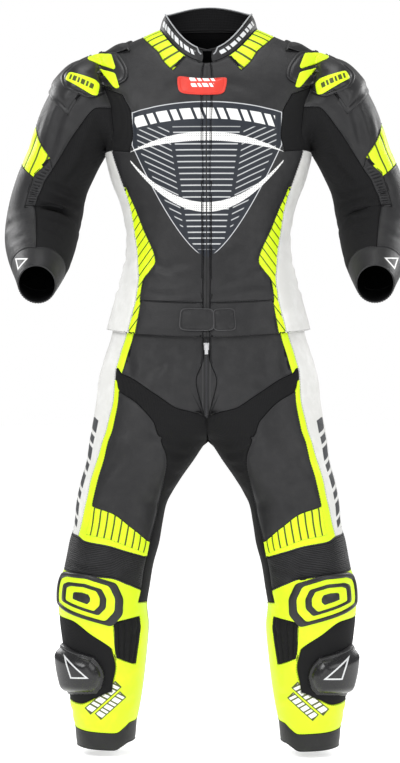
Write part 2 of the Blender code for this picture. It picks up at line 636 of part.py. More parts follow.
def jacket(body, collection):
    wedge = body.block("wedge", "flank", "wedge_low", "wedge_top")
    thin_line = body.block("wedge", "flank", "band_top", "wedge_low")
    band_strip = body.block("wedge", "flank", "hem", "band_top")
    front = body.block("zip_edge", "flank", "band_top", "neckline") - wedge - thin_line
    front |= body.block("flank", "side", "tip", "patch_top")
    front -= body.block("wedge", "flank", "armpit", "arm_high")
    neck = body.block("chest", "side", "patch_top", "neckline")
    pair("jacket_front", body, front - neck, LEATHER, black_leather(), collection)
    pair("neck_stripe", body, neck, LEATHER, neon_leather(), collection)
    pair("flank_stripe", body, wedge | thin_line | band_strip, LEATHER, neon_leather(), collection)
    side = body.block("flank", "back_flank", "hem", "armpit")
    pair("jacket_side", body, side, LEATHER, white_leather(), collection)
    back = body.block("back_flank", "spine", "hem", "neckline")
    back |= body.block("side", "back_flank", "tip", "neckline")
    panel("jacket_back", body, back, LEATHER, black_leather(), collection, both=True)
    band = body.block("zip_edge", "wedge", "hem", "band_top")
    pair("waistband_front", body, band, LEATHER, black_leather(), collection)
    zip_cells = body.block("middle", "zip_edge", "hem", "neckline")
    panel("front_zip", body, zip_cells, TAPE_WALL, black_stretch(), collection, both=True)
    tab = body.block("middle", "patch", "tab_low", "tab_high")
    panel("belt_tab", body, tab, TAB_WALL, black_leather(), collection, lift=SEAT_GAP, both=True)
    patch = body.block("middle", "patch", "tip", "patch_top")
    label = material("red_label", RED, 0.5)
    panel("chest_patch", body, patch, PATCH_WALL, label, collection, lift=SEAT_GAP, both=True)
    stand = collar_net()
    stand_cells = stand.block(0, COLLAR_COLUMNS, 0, COLLAR_ROWS)
    panel("collar", stand, stand_cells, LEATHER, black_leather(), collection)


def sleeves(body, arm, collection):
    gusset = body.block("wedge", "flank", "armpit", "arm_high")
    pair("armpit_gusset", body, gusset, STRETCH, black_stretch(), collection)
    cup = cup_net(body, arm)
    cup_cells = cup.block("back", "front", "inner", "outer") - {(0, 0), (5, 0)}
    swell = {(i, j): CUP_SWELL for i in range(1, 6) for j in (1, 2)}
    pair(
        "shoulder_cup",
        cup,
        cup_cells,
        CUP_WALL,
        hard_plastic(),
        collection,
        lift=SEAT_GAP,
        crown=lambda i, j: swell.get((i, j), 0.0),
    )
    stripes = arm.block("top", "rib_front", "stripe_top", "stripe_low")
    stripes |= arm.block("top_back", "top_again", "stripe_top", "stripe_low")
    rib = arm.block("rib_front", "front", "stripe_top", "rib_low")
    outer = arm.block("top", "front", "armhole", "cuff_top")
    outer |= arm.block("back_seam", "top_again", "armhole", "cuff_top")
    inner = arm.block("front", "back_seam", "armhole", "cuff_top")
    pair("sleeve_stripe", arm, stripes, LEATHER, neon_leather(), collection)
    pair("elbow_rib", arm, rib, ACCORDION, black_stretch(), collection, fold=1)
    pair("sleeve_outer", arm, outer - stripes - rib, LEATHER, black_leather(), collection)
    pair("sleeve_inner", arm, inner, STRETCH, black_stretch(), collection)
    cuff = arm.block("top", "top_again", "cuff_top", "cuff_end")
    pair("cuff", arm, cuff, LEATHER, black_leather(), collection)


# -------------------------------------------------------------------------------------------- trousers
def trousers(leg, collection):
    vee = leg.block("middle", "strip_out", "vee_top", "vee_low")
    inner = leg.block("middle", "inner_seam", "vee_low", "band_low")
    behind = leg.block("seat_in", "middle_back", "vee_low", "band_low")
    calf = leg.block("back_seam", "middle_back", "band_low", "ankle_top")
    knee_in = leg.block("middle", "inner_seam", "band_low", "shield_mid")
    pair("trouser_stretch", leg, vee | inner | behind | calf | knee_in, STRETCH, black_stretch(), collection)
    yoke = leg.block("fly_edge", "strip_in", "waist", "vee_top")
    pair("trouser_front", leg, yoke, LEATHER, black_leather(), collection)
    hip = leg.block("strip_in", "strip_out", "waist", "vee_top")
    pair("hip_strip", leg, hip, LEATHER, neon_leather(), collection)
    strip = leg.block("strip_in", "strip_out", "vee_low", "stripes_low")
    stripes = leg.block("inner_seam", "strip_in", "stripes_top", "stripes_low")
    pair("thigh_stripes", leg, strip | stripes, LEATHER, neon_leather(), collection)
    side = leg.block("strip_out", "back_seam", "waist", "stripes_low")
    pair("trouser_side", leg, side, LEATHER, white_leather(), collection)
    thigh = leg.block("inner_seam", "strip_in", "vee_low", "stripes_top")
    pair("thigh_front", leg, thigh, LEATHER, black_leather(), collection)
    band = leg.block("inner_seam", "back_seam", "stripes_low", "band_low")
    pair("knee_band", leg, band, LEATHER, black_leather(), collection)
    back = leg.block("back_seam", "middle_back", "waist", "vee_low")
    back |= leg.block("back_seam", "seat_in", "vee_low", "band_low")
    pair("trouser_back", leg, back, SEAT_LEATHER, black_leather(), collection, fold=1)
    insert = leg.block("inner_seam", "inner_front", "shield_low", "field_top")
    field = leg.block("mid_front", "side_back", "field_top", "field_low")
    shin = leg.block("inner_seam", "back_seam", "band_low", "ankle_top")
    shin |= leg.block("middle", "inner_seam", "shield_mid", "ankle_top")
    pair("shin_panel", leg, shin - insert - field, LEATHER, neon_leather(), collection)
    pair("knee_rib", leg, insert, STRETCH, black_stretch(), collection)
    pair("slider_field", leg, field, LEATHER, black_stretch(), collection)
    ankle = leg.block("middle", "middle_back", "ankle_top", "ankle_end")
    pair("ankle_cuff", leg, ankle, LEATHER, black_leather(), collection)
    shield = leg.block("inner_front", "side", "band_low", "shield_low")
    shield -= leg.block("inner_front", "mid_front", "band_low", "shield_mid")
    pair("knee_shield", leg, shield, SHIELD_WALL, black_leather(), collection, lift=SEAT_GAP)
    fly = leg.block("middle", "fly_edge", "waist", "vee_top")
    panel("fly_zip", leg, fly, TAPE_WALL, black_stretch(), collection, both=True)
    puck = slider_net()
    rise = {(i, j): SLIDER_CROWN for i in (1, 2, 3) for j in (1, 2, 3)}
    pair(
        "knee_slider",
        puck,
        puck.block(0, 4, "edge_high", "edge_low"),
        SLIDER_EDGE,
        hard_plastic(),
        collection,
        lift=SLIDER_SEAT,
        crown=lambda i, j: rise.get((i, j), 0.0),
    )


# ------------------------------------------------------------------------------------------- fly zip pull
FLY_SLIDER = (0.0096, 0.0040, 0.0130)  # wide, deep, tall
FLY_LEVEL = 0.572  # the slider's middle, below the origin
FLY_SEAT = 0.0006
EAR = (0.0010, 0.0046, 0.0034)  # each of the two ears that hold the pin
PIN_RADIUS, PIN_CLEARANCE = 0.0007, 0.00008
PIN_STAND = 0.0026  # the pin's centre line off the slider's face
PULL = (0.0062, 0.0014, 0.0190)  # its plate, below the knuckle
KNUCKLE_RADIUS = 0.0018


def bar(name, size, middle, finish, collection, bevel=0.0):
    maker = bmesh.new()
    bmesh.ops.create_cube(maker, size=1.0, matrix=Matrix.Translation(middle) @ Matrix.Diagonal((*size, 1)))
    if bevel:
        bmesh.ops.bevel(maker, geom=maker.edges[:], offset=bevel, segments=2, affect="EDGES", profile=0.5)
    return add_object(name, maker, finish, collection)


def rod(name, radius, length, middle, finish, collection):
    """A round bar along X."""
    maker = bmesh.new()
    turn = Matrix.Translation(middle) @ Matrix.Rotation(math.pi / 2, 4, "Y")
    bmesh.ops.create_cone(
        maker, cap_ends=True, segments=24, radius1=radius, radius2=radius, depth=length, matrix=turn
    )
    return add_object(name, maker, finish, collection)


def combine(obj, other, operation):
    other.hide_render = True
    other.display_type = "WIRE"
    step = obj.modifiers.new(other.name, "BOOLEAN")
    step.operation = operation
    step.solver = "EXACT"
    step.object = other


def fly_pull(leg, collection, cutters):
    """The slider stands on the fly tape; its pull hangs from a pin between two ears."""
    wide, deep, tall = FLY_SLIDER
    above, below = (leg.nodes[0, leg.rows[name]][0] for name in ("under_hem", "yoke_mid"))
    share = (above.z + FLY_LEVEL + tall / 2) / (above.z - below.z)
    face = above.lerp(below, share).y - FLY_SEAT - deep
    pin = Vector((0, face - PIN_STAND, -FLY_LEVEL + tall / 2 - EAR[2] / 2))
    steel = metal()
    slider_middle = Vector((0, face + deep / 2, -FLY_LEVEL))
    slider = bar("fly_slider", FLY_SLIDER, slider_middle, steel, collection, 0.0010)
    for side in (-1, 1):
        ear_middle = Vector((side * (wide / 2 - EAR[0] / 2), face - EAR[1] / 2 + 0.0003, pin.z))
        combine(slider, bar("ear", EAR, ear_middle, steel, cutters), "UNION")
    combine(slider, rod("pin", PIN_RADIUS, wide - EAR[0], pin, steel, cutters), "UNION")
    plate_middle = pin - Vector((0, 0, PULL[2] / 2))
    pull = bar("fly_pull", PULL, plate_middle, steel, collection, 0.0004)
    combine(pull, rod("knuckle", KNUCKLE_RADIUS, PULL[0] + 0.0006, pin, steel, cutters), "UNION")
    combine(pull, rod("pin_hole", PIN_RADIUS + PIN_CLEARANCE, wide, pin, steel, cutters), "DIFFERENCE")


def main():
    for obj in list(bpy.data.objects):
        bpy.data.objects.remove(obj)
    suit = bpy.data.collections.new("race_suit")
    bpy.context.scene.collection.children.link(suit)
    body, leg = body_net(), leg_net()
    arm = arm_net(body)
    jacket(body, suit)
    sleeves(body, arm, suit)
    trousers(leg, suit)
    cutters = bpy.data.collections.new("race_suit_cutters")
    cutters.hide_render = True
    bpy.context.scene.collection.children.link(cutters)
    fly_pull(leg, suit, cutters)


main()
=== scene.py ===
"""The looks of a two-piece leather race suit, filled out as if worn, with nobody in it.

Three forms (body, leg, arm) are hollow tubes through hoops of named sizes, and on each a net of seam lines
says where one panel ends and the next begins. A panel is a block of cells of that net, laid smoothly on the
form, folded in along its seams, creased, and given its wall. Prints and inserts are cut in the plane that
they are seen in and laid on the cloth. Metres, +Z up; the suit faces -Y and its own left is at +X.
"""

import json
import math
from collections import namedtuple

import bmesh
import bpy
import numpy as np
from mathutils import Matrix, Vector, kdtree
from mathutils.bvhtree import BVHTree

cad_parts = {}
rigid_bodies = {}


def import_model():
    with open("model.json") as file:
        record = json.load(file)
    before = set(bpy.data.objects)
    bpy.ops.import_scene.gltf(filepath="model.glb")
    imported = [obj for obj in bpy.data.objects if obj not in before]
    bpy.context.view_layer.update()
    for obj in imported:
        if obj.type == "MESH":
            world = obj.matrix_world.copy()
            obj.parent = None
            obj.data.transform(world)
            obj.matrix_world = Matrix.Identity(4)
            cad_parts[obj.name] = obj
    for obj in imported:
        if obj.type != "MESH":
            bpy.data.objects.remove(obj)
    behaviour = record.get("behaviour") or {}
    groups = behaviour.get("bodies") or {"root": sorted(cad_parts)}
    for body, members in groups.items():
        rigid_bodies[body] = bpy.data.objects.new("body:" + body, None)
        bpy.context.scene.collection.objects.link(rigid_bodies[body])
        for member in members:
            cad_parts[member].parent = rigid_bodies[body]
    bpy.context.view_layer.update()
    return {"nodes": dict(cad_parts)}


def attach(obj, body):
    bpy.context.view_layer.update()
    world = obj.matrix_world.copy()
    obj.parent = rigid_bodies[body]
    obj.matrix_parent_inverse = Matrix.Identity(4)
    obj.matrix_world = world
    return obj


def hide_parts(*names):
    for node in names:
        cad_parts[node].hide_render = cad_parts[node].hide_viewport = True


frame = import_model()
SUIT = "suit"  # the body that all but the swinging pull rides on

# ---------------------------------------------------------------------------------------------- sizes
LEATHER = 0.0019  # leather with its lining
STRETCH = 0.0016  # knitted aramid stretch panels
SEAM_RINGS = (0.0010, 0.0016)  # how wide the fold at a seam is: its steep part and its shoulder
SEAM_DEPTHS = (0.0018, 0.0005, 0.0)  # how deep the rim and the two rings behind it lie
STITCH_LONG, STITCH_WIDE, STITCH_PITCH = 0.0032, 0.0008, 0.0048

# ---------------------------------------------------------------------------------------------- forms
# A hoop of the body or the leg. Its front, side and back may lie at unlike heights; half_width is from x_mid
# to the side, front and back are the depths from y_mid, and power rounds (2) or squares (3) its corners.
Hoop = namedtuple("Hoop", "level z_front z_side z_back x_mid y_mid half_width front back power")

# level is the way up the side seam from the hem, and then along the shoulder to the neck.
BODY_HOOPS = tuple(
    Hoop(*row)
    for row in (
        # level z_front z_side z_back  x_mid y_mid  half_w  front   back  power
        (0.000, -0.555, -0.539, -0.545, 0.0, 0.000, 0.188, 0.124, 0.130, 2.4),
        (0.059, -0.494, -0.480, -0.484, 0.0, 0.000, 0.172, 0.116, 0.120, 2.4),
        (0.110, -0.443, -0.429, -0.432, 0.0, 0.000, 0.158, 0.110, 0.111, 2.3),
        (0.160, -0.393, -0.379, -0.380, 0.0, 0.000, 0.151, 0.107, 0.106, 2.3),
        (0.220, -0.333, -0.319, -0.318, 0.0, 0.000, 0.159, 0.112, 0.110, 2.3),
        (0.280, -0.275, -0.259, -0.256, 0.0, 0.002, 0.180, 0.121, 0.120, 2.3),
        (0.340, -0.218, -0.199, -0.192, 0.0, 0.004, 0.195, 0.130, 0.130, 2.3),
        (0.400, -0.172, -0.139, -0.125, 0.0, 0.006, 0.203, 0.130, 0.131, 2.3),
        (0.460, -0.134, -0.085, -0.065, 0.0, 0.006, 0.207, 0.119, 0.120, 2.3),
        (0.500, -0.106, -0.042, -0.028, 0.0, 0.006, 0.200, 0.107, 0.103, 2.2),
        (0.540, -0.083, -0.018, -0.004, 0.0, 0.006, 0.165, 0.098, 0.086, 2.1),
        (0.580, -0.068, 0.000, 0.011, 0.0, 0.006, 0.126, 0.091, 0.072, 2.0),
        (0.620, -0.056, 0.016, 0.024, 0.0, 0.006, 0.090, 0.085, 0.062, 2.0),
    )
)

# level is the height below the origin. Above the fork a hoop is cut off by the middle plane x = 0.
FORK = 0.742
LEG_HOOPS = tuple(
    Hoop(row[0], -row[0], -row[0], -row[0], *row[1:])
    for row in (
        # level  x_mid  y_mid  half_w  front   back  power
        (0.500, 0.000, 0.000, 0.1715, 0.1120, 0.1165, 2.4),
        (0.545, 0.000, 0.000, 0.1770, 0.1140, 0.1200, 2.4),
        (0.596, 0.000, 0.000, 0.1930, 0.1160, 0.1280, 2.4),
        (0.633, 0.018, -0.002, 0.1846, 0.1160, 0.1310, 2.4),
        (0.670, 0.045, -0.005, 0.1610, 0.1150, 0.1300, 2.3),
        (0.707, 0.076, -0.009, 0.1360, 0.1130, 0.1250, 2.3),
        (0.727, 0.095, -0.012, 0.1200, 0.1110, 0.1190, 2.2),
        (FORK, 0.109, -0.015, 0.1090, 0.1090, 0.1130, 2.2),
        (0.781, 0.1255, -0.022, 0.0975, 0.1020, 0.1040, 2.2),
        (0.818, 0.1435, -0.030, 0.0895, 0.0960, 0.0970, 2.2),
        (0.855, 0.1575, -0.039, 0.0825, 0.0910, 0.0920, 2.2),
        (0.892, 0.1630, -0.048, 0.0800, 0.0880, 0.0880, 2.2),
        (0.929, 0.1700, -0.056, 0.0810, 0.0870, 0.0840, 2.2),
        (0.966, 0.1785, -0.063, 0.0795, 0.0880, 0.0790, 2.2),
        (1.003, 0.1870, -0.068, 0.0820, 0.0910, 0.0740, 2.2),
        (1.040, 0.1900, -0.070, 0.0800, 0.0920, 0.0720, 2.2),
        (1.077, 0.1870, -0.068, 0.0800, 0.0870, 0.0740, 2.2),
        (1.132, 0.1860, -0.062, 0.0745, 0.0770, 0.0770, 2.1),
        (1.188, 0.1860, -0.055, 0.0680, 0.0690, 0.0740, 2.1),
        (1.225, 0.1870, -0.050, 0.0630, 0.0630, 0.0670, 2.1),
        (1.262, 0.1870, -0.046, 0.0560, 0.0570, 0.0600, 2.0),
        (1.330, 0.1860, -0.042, 0.0510, 0.0530, 0.0550, 2.0),
    )
)

# A hoop of the arm stands square to the arm's own line. level is the way along the arm from the armhole,
# across is the half size from the outer to the inner side, and deep the half size from front to back.
ArmHoop = namedtuple("ArmHoop", "level x y z across deep")
ARM_HOOPS = tuple(
    ArmHoop(*row)
    for row in (
        # level    x       y       z     across  deep
        (0.000, 0.186, 0.003, -0.118, 0.080, 0.086),
        (0.040, 0.216, 0.003, -0.128, 0.078, 0.083),
        (0.080, 0.238, 0.005, -0.156, 0.075, 0.079),
        (0.120, 0.257, 0.008, -0.191, 0.070, 0.074),
        (0.160, 0.273, 0.012, -0.228, 0.066, 0.070),
        (0.200, 0.290, 0.016, -0.266, 0.066, 0.067),
        (0.240, 0.301, 0.017, -0.305, 0.068, 0.066),
        (0.280, 0.308, 0.008, -0.344, 0.068, 0.066),
        (0.320, 0.309, -0.018, -0.375, 0.066, 0.063),
        (0.360, 0.307, -0.053, -0.399, 0.060, 0.058),
        (0.400, 0.304, -0.090, -0.421, 0.052, 0.052),
        (0.440, 0.302, -0.126, -0.441, 0.043, 0.046),
        (0.480, 0.301, -0.163, -0.462, 0.034, 0.038),
    )
)

# The collar stands on the body's neckline hoop; its top leans in a little.
COLLAR_HOOPS = (
    Hoop(0.000, -0.0556, 0.0164, 0.0244, 0.0, 0.006, 0.0898, 0.0848, 0.0618, 2.0),
    Hoop(0.500, -0.0430, 0.0300, 0.0440, 0.0, 0.005, 0.0860, 0.0800, 0.0610, 2.0),
    Hoop(1.000, -0.0310, 0.0440, 0.0660, 0.0, 0.004, 0.0800, 0.0745, 0.0590, 2.0),
)

def through(table, levels):
    """The table's rows at any levels, on smooth curves through its rows, one array for each column."""
    rows = np.array(table, float)
    grid = rows[:, 0]
    slopes = np.empty_like(rows)
    slopes[1:-1] = (rows[2:] - rows[:-2]) / (grid[2:] - grid[:-2])[:, None]
    slopes[0] = (rows[1] - rows[0]) / (grid[1] - grid[0])
    slopes[-1] = (rows[-1] - rows[-2]) / (grid[-1] - grid[-2])
    k = np.clip(np.searchsorted(grid, levels, side="right") - 1, 0, len(grid) - 2)
    span = (grid[k + 1] - grid[k])[..., None]
    t = (np.asarray(levels) - grid[k])[..., None] / span
    found = (
        rows[k] * (2 * t**3 - 3 * t**2 + 1)
        + slopes[k] * span * (t**3 - 2 * t**2 + t)
        + rows[k + 1] * (3 * t**2 - 2 * t**3)
        + slopes[k + 1] * span * (t**3 - t**2)
    )
    return type(table[0])(*np.moveaxis(found, -1, 0))


def monotone(values, at):
    """Values known at 0, 1, 2... along the first axis, filled in without any overshoot."""
    values = np.asarray(values, float)
    rise = np.diff(values, axis=0)
    slopes = np.zeros_like(values)
    slopes[0], slopes[-1] = rise[0], rise[-1]
    same = rise[1:] * rise[:-1] > 0
    with np.errstate(divide="ignore", invalid="ignore"):
        mean = 2 * rise[1:] * rise[:-1] / (rise[1:] + rise[:-1])
    slopes[1:-1] = np.where(same, mean, 0)
    k = np.clip(np.floor(at + 1e-9).astype(int), 0, len(values) - 2)
    t = (at - k)[:, None]
    return (
        values[k] * (2 * t**3 - 3 * t**2 + 1)
        + slopes[k] * (t**3 - 2 * t**2 + t)
        + values[k + 1] * (3 * t**2 - 2 * t**3)
        + slopes[k + 1] * (t**3 - t**2)
    )


def unit(vectors):
    return vectors / np.maximum(np.linalg.norm(vectors, axis=-1, keepdims=True), 1e-12)


def hoop_points(table, degrees, levels):
    hoop = through(table, levels)
    turn = np.radians(degrees)
    s, c = np.sin(turn), np.cos(turn)
    size = (np.abs(s) ** hoop.power + np.abs(c) ** hoop.power) ** (1 / hoop.power)
    fore = c / size
    end_z = np.where(fore > 0, hoop.z_front, hoop.z_back)
    return np.stack(
        [
            hoop.x_mid + hoop.half_width * s / size,
            hoop.y_mid - fore * np.where(fore > 0, hoop.front, hoop.back),
            hoop.z_side + (end_z - hoop.z_side) * c**2,
        ],
        axis=-1,
    )


def body_points(degrees, levels):
    return hoop_points(BODY_HOOPS, degrees, levels)


def leg_points(degrees, levels):
    return hoop_points(LEG_HOOPS, degrees, levels)


def collar_points(degrees, levels):
    return hoop_points(COLLAR_HOOPS, degrees, levels)


def arm_points(degrees, levels):
    """0 degrees is the outer side of the arm, 90 its front, 180 the side that faces the body."""
    step = 0.004
    here, behind, ahead = (through(ARM_HOOPS, levels + d) for d in (0, -step, step))
    along = unit(np.stack(ahead[1:4], -1) - np.stack(behind[1:4], -1))
    outward = unit(np.array([1.0, 0, 0]) - along * along[..., :1])
    forward = np.cross(along, outward)
    turn = np.radians(degrees)[..., None]
    return (
        np.stack(here[1:4], -1)
        + outward * here.across[..., None] * np.cos(turn)
        + forward * here.deep[..., None] * np.sin(turn)
    )


def middle_angles(levels):
    """The angle at which a leg hoop meets the middle plane, or the inseam's below the fork."""
    hoop = through(LEG_HOOPS, np.minimum(levels, FORK))
    share = np.minimum(np.abs(hoop.x_mid) / hoop.half_width, 0.99999)
    tangent = (share**hoop.power / (1 - share**hoop.power)) ** (1 / hoop.power)
    above = -np.degrees(np.copysign(np.arctan(tangent), hoop.x_mid))
    return np.where(levels >= FORK, -90.0, above)

# Body net. Columns run from the zip to the spine; rows from the hem to the neckline.
BODY_COLUMNS = (
    "middle zip_edge patch chest wedge flank side_front side side_back back_flank blade back spine_side spine"
).split()
BODY_KEYS = (0, 2, 5, 7, 9, 13)  # the columns at which a row's level is given
BODY_ROWS = (
    # name          levels: middle patch flank side back_flank spine    angle of each column, degrees
    ("hem",         (0.000, 0.000, 0.000, 0.000, 0.000, 0.000),
     (0, 2.0, 16, 28, 41, 46, 68, 90, 112, 126, 140, 154, 167, 180)),
    ("tab_low",     (0.009, 0.009, 0.010, 0.010, 0.010, 0.010),
     (0, 2.0, 16, 28, 41, 46, 68, 90, 112, 126, 140, 154, 167, 180)),
    ("tab_high",    (0.049, 0.049, 0.050, 0.050, 0.050, 0.050),
     (0, 2.2, 17, 29, 41, 45, 68, 90, 111, 125, 139, 153, 167, 180)),
    ("band_top",    (0.060, 0.060, 0.059, 0.060, 0.060, 0.060),
     (0, 2.2, 17, 29, 42, 45, 68, 90, 110, 124, 138, 153, 166, 180)),
    ("wedge_low",   (0.096, 0.095, 0.093, 0.098, 0.100, 0.100),
     (0, 2.4, 17, 30, 43.5, 47, 69, 90, 109, 123, 137, 152, 166, 180)),
    ("wedge_tip",   (0.132, 0.131, 0.130, 0.140, 0.144, 0.144),
     (0, 2.4, 14, 25, 36, 52, 71, 90, 108, 121, 136, 151, 166, 180)),
    ("rib",         (0.194, 0.194, 0.194, 0.200, 0.200, 0.200),
     (0, 2.4, 16, 31, 48, 58, 75, 90, 106, 119, 134, 149, 165, 180)),
    ("wedge_top",   (0.262, 0.262, 0.262, 0.262, 0.262, 0.262),
     (0, 2.2, 16, 31, 55, 57.5, 74, 90, 105, 119, 134, 149, 165, 180)),
    ("armpit",      (0.330, 0.330, 0.329, 0.322, 0.332, 0.325),
     (0, 2.0, 15, 29, 44, 61, 76, 90, 102, 114, 132, 149, 165, 180)),
    ("arm_low",     (0.358, 0.363, 0.370, 0.374, 0.376, 0.368),
     (0, 2.0, 14, 27, 40, 55, 72, 90, 107, 123, 136, 150, 165, 180)),
    ("arm_mid",     (0.398, 0.405, 0.415, 0.420, 0.424, 0.410),
     (0, 2.0, 13, 26, 40, 55, 72, 90, 107, 123, 136, 150, 165, 180)),
    ("arm_high",    (0.436, 0.445, 0.458, 0.465, 0.468, 0.450),
     (0, 2.2, 12, 27, 45, 62, 76, 90, 102, 115, 131, 148, 165, 180)),
    ("tip",         (0.478, 0.480, 0.500, 0.503, 0.500, 0.498),
     (0, 2.4, 10, 27, 50, 77, 84, 90, 96, 102, 125, 146, 164, 180)),
    ("cup_in",      (0.504, 0.506, 0.545, 0.566, 0.545, 0.528),
     (0, 2.6, 13, 25, 42, 61, 77, 90, 100, 112, 127, 146, 164, 180)),
    ("patch_top",   (0.530, 0.531, 0.582, 0.585, 0.575, 0.556),
     (0, 3.0, 15, 23, 34, 49, 69, 90, 96, 103, 125, 146, 164, 180)),
    ("neckline",    (0.620, 0.620, 0.620, 0.620, 0.620, 0.620),
     (0, 3.6, 14, 25, 36, 50, 70, 90, 97, 105, 126, 147, 164, 180)),
)

# Leg net. Columns run from the middle plane or inseam round the front, the outer side and the back.
LEG_COLUMNS = (
    "middle fly_edge yoke inner_seam inner_front mid_front strip_in strip_out side side_back back_seam "
    "seat_out seat_mid seat_in inner_back middle_back"
).split()
LEG_KEYS = (0, 3, 5, 7, 9, 12, 15)
MIDDLE = None  # an angle that the middle plane sets
LEG_ROWS = (
    # name           levels: middle inner_seam mid_front strip_out side_back seat middle_back   angles
    ("waist",        (0.502, 0.502, 0.502, 0.502, 0.502, 0.502, 0.502),
     (MIDDLE, 2.2, 11, 20, 30, 38, 46, 52, 75, 98, 118, 134, 150, 165, 173, MIDDLE)),
    ("under_hem",    (0.553, 0.551, 0.548, 0.545, 0.543, 0.545, 0.548),
     (MIDDLE, 2.2, 11, 20, 30, 38, 45, 51, 75, 97, 118, 134, 150, 165, 173, MIDDLE)),
    ("yoke_mid",     (0.625, 0.614, 0.596, 0.581, 0.579, 0.600, 0.610),
     (MIDDLE, 1.5, 10, 19, 30, 39, 46, 52, 74, 97, 118, 134, 150, 165, 173, MIDDLE)),
    ("vee_top",      (0.704, 0.683, 0.630, 0.610, 0.609, 0.650, 0.675),
     (MIDDLE, -25, -14, -1, 20, 37, 46, 52, 74, 97, 118, 136, 155, 176, 190, MIDDLE)),
    ("vee_low",      (0.737, 0.735, 0.670, 0.632, 0.632, 0.690, 0.737),
     (MIDDLE, -52, -34, -12, 11, 31, 45, 50, 73, 97, 119, 140, 164, 194, 222, MIDDLE)),
    ("fork",         (FORK, 0.767, 0.745, 0.739, 0.738, 0.745, FORK),
     (MIDDLE, -68, -49, -27, -7, 13, 38, 45, 70, 96, 120, 146, 173, 206, 238, MIDDLE)),
    ("thigh_high",   (0.790, 0.809, 0.794, 0.788, 0.786, 0.790, 0.790),
     (MIDDLE, -74, -58, -42, -16, 8, 38, 48, 71, 96, 121, 148, 176, 208, 240, MIDDLE)),
    ("thigh_mid",    (0.850, 0.871, 0.837, 0.816, 0.814, 0.840, 0.850),
     (MIDDLE, -80, -70, -58, -24, 3, 36, 47, 71, 96, 122, 150, 178, 208, 240, MIDDLE)),
    ("stripes_top",  (0.905, 0.924, 0.872, 0.846, 0.850, 0.890, 0.905),
     (MIDDLE, -78, -66, -53, -22, 6, 35, 45, 70, 96, 122, 150, 178, 208, 240, MIDDLE)),
    ("stripes_low",  (0.945, 0.951, 0.929, 0.914, 0.908, 0.930, 0.945),
     (MIDDLE, -78, -66, -55, -23, 4, 38, 51, 73, 96, 122, 150, 178, 208, 240, MIDDLE)),
    ("band_low",     (1.000, 1.009, 0.986, 0.978, 0.972, 0.985, 1.000),
     (MIDDLE, -78, -67, -57, -33, -10, 24, 46, 73, 100, 124, 150, 178, 208, 240, MIDDLE)),
    ("shield_mid",   (1.035, 1.032, 1.029, 1.011, 1.006, 1.020, 1.035),
     (MIDDLE, -78, -66, -55, -31, -11, 21, 43, 74, 103, 126, 151, 178, 208, 240, MIDDLE)),
    ("shield_low",   (1.065, 1.057, 1.075, 1.043, 1.034, 1.055, 1.065),
     (MIDDLE, -78, -67, -56, -17, -10, 20, 41, 74, 104, 128, 152, 178, 208, 240, MIDDLE)),
    ("field_top",    (1.130, 1.144, 1.114, 1.063, 1.054, 1.100, 1.130),
     (MIDDLE, -78, -65, -51, -20, -13, 13, 41, 75, 105, 128, 152, 178, 208, 240, MIDDLE)),
    ("field_mid",    (1.175, 1.180, 1.148, 1.142, 1.138, 1.160, 1.175),
     (MIDDLE, -76, -62, -47, -33, -19, 13, 43, 75, 104, 128, 152, 178, 208, 240, MIDDLE)),
    ("field_low",    (1.222, 1.223, 1.194, 1.218, 1.212, 1.215, 1.222),
     (MIDDLE, -76, -63, -49, -32, -14, 12, 40, 70, 98, 128, 152, 178, 208, 240, MIDDLE)),
    ("ankle_top",    (1.250, 1.254, 1.272, 1.269, 1.262, 1.255, 1.250),
     (MIDDLE, -78, -67, -55, -41, -23, 5, 33, 66, 98, 126, 152, 178, 208, 240, MIDDLE)),
    ("ankle_end",    (1.288, 1.292, 1.304, 1.302, 1.298, 1.292, 1.288),
     (MIDDLE, -78, -66, -53, -38, -21, 4, 31, 64, 96, 124, 152, 178, 208, 240, MIDDLE)),
)

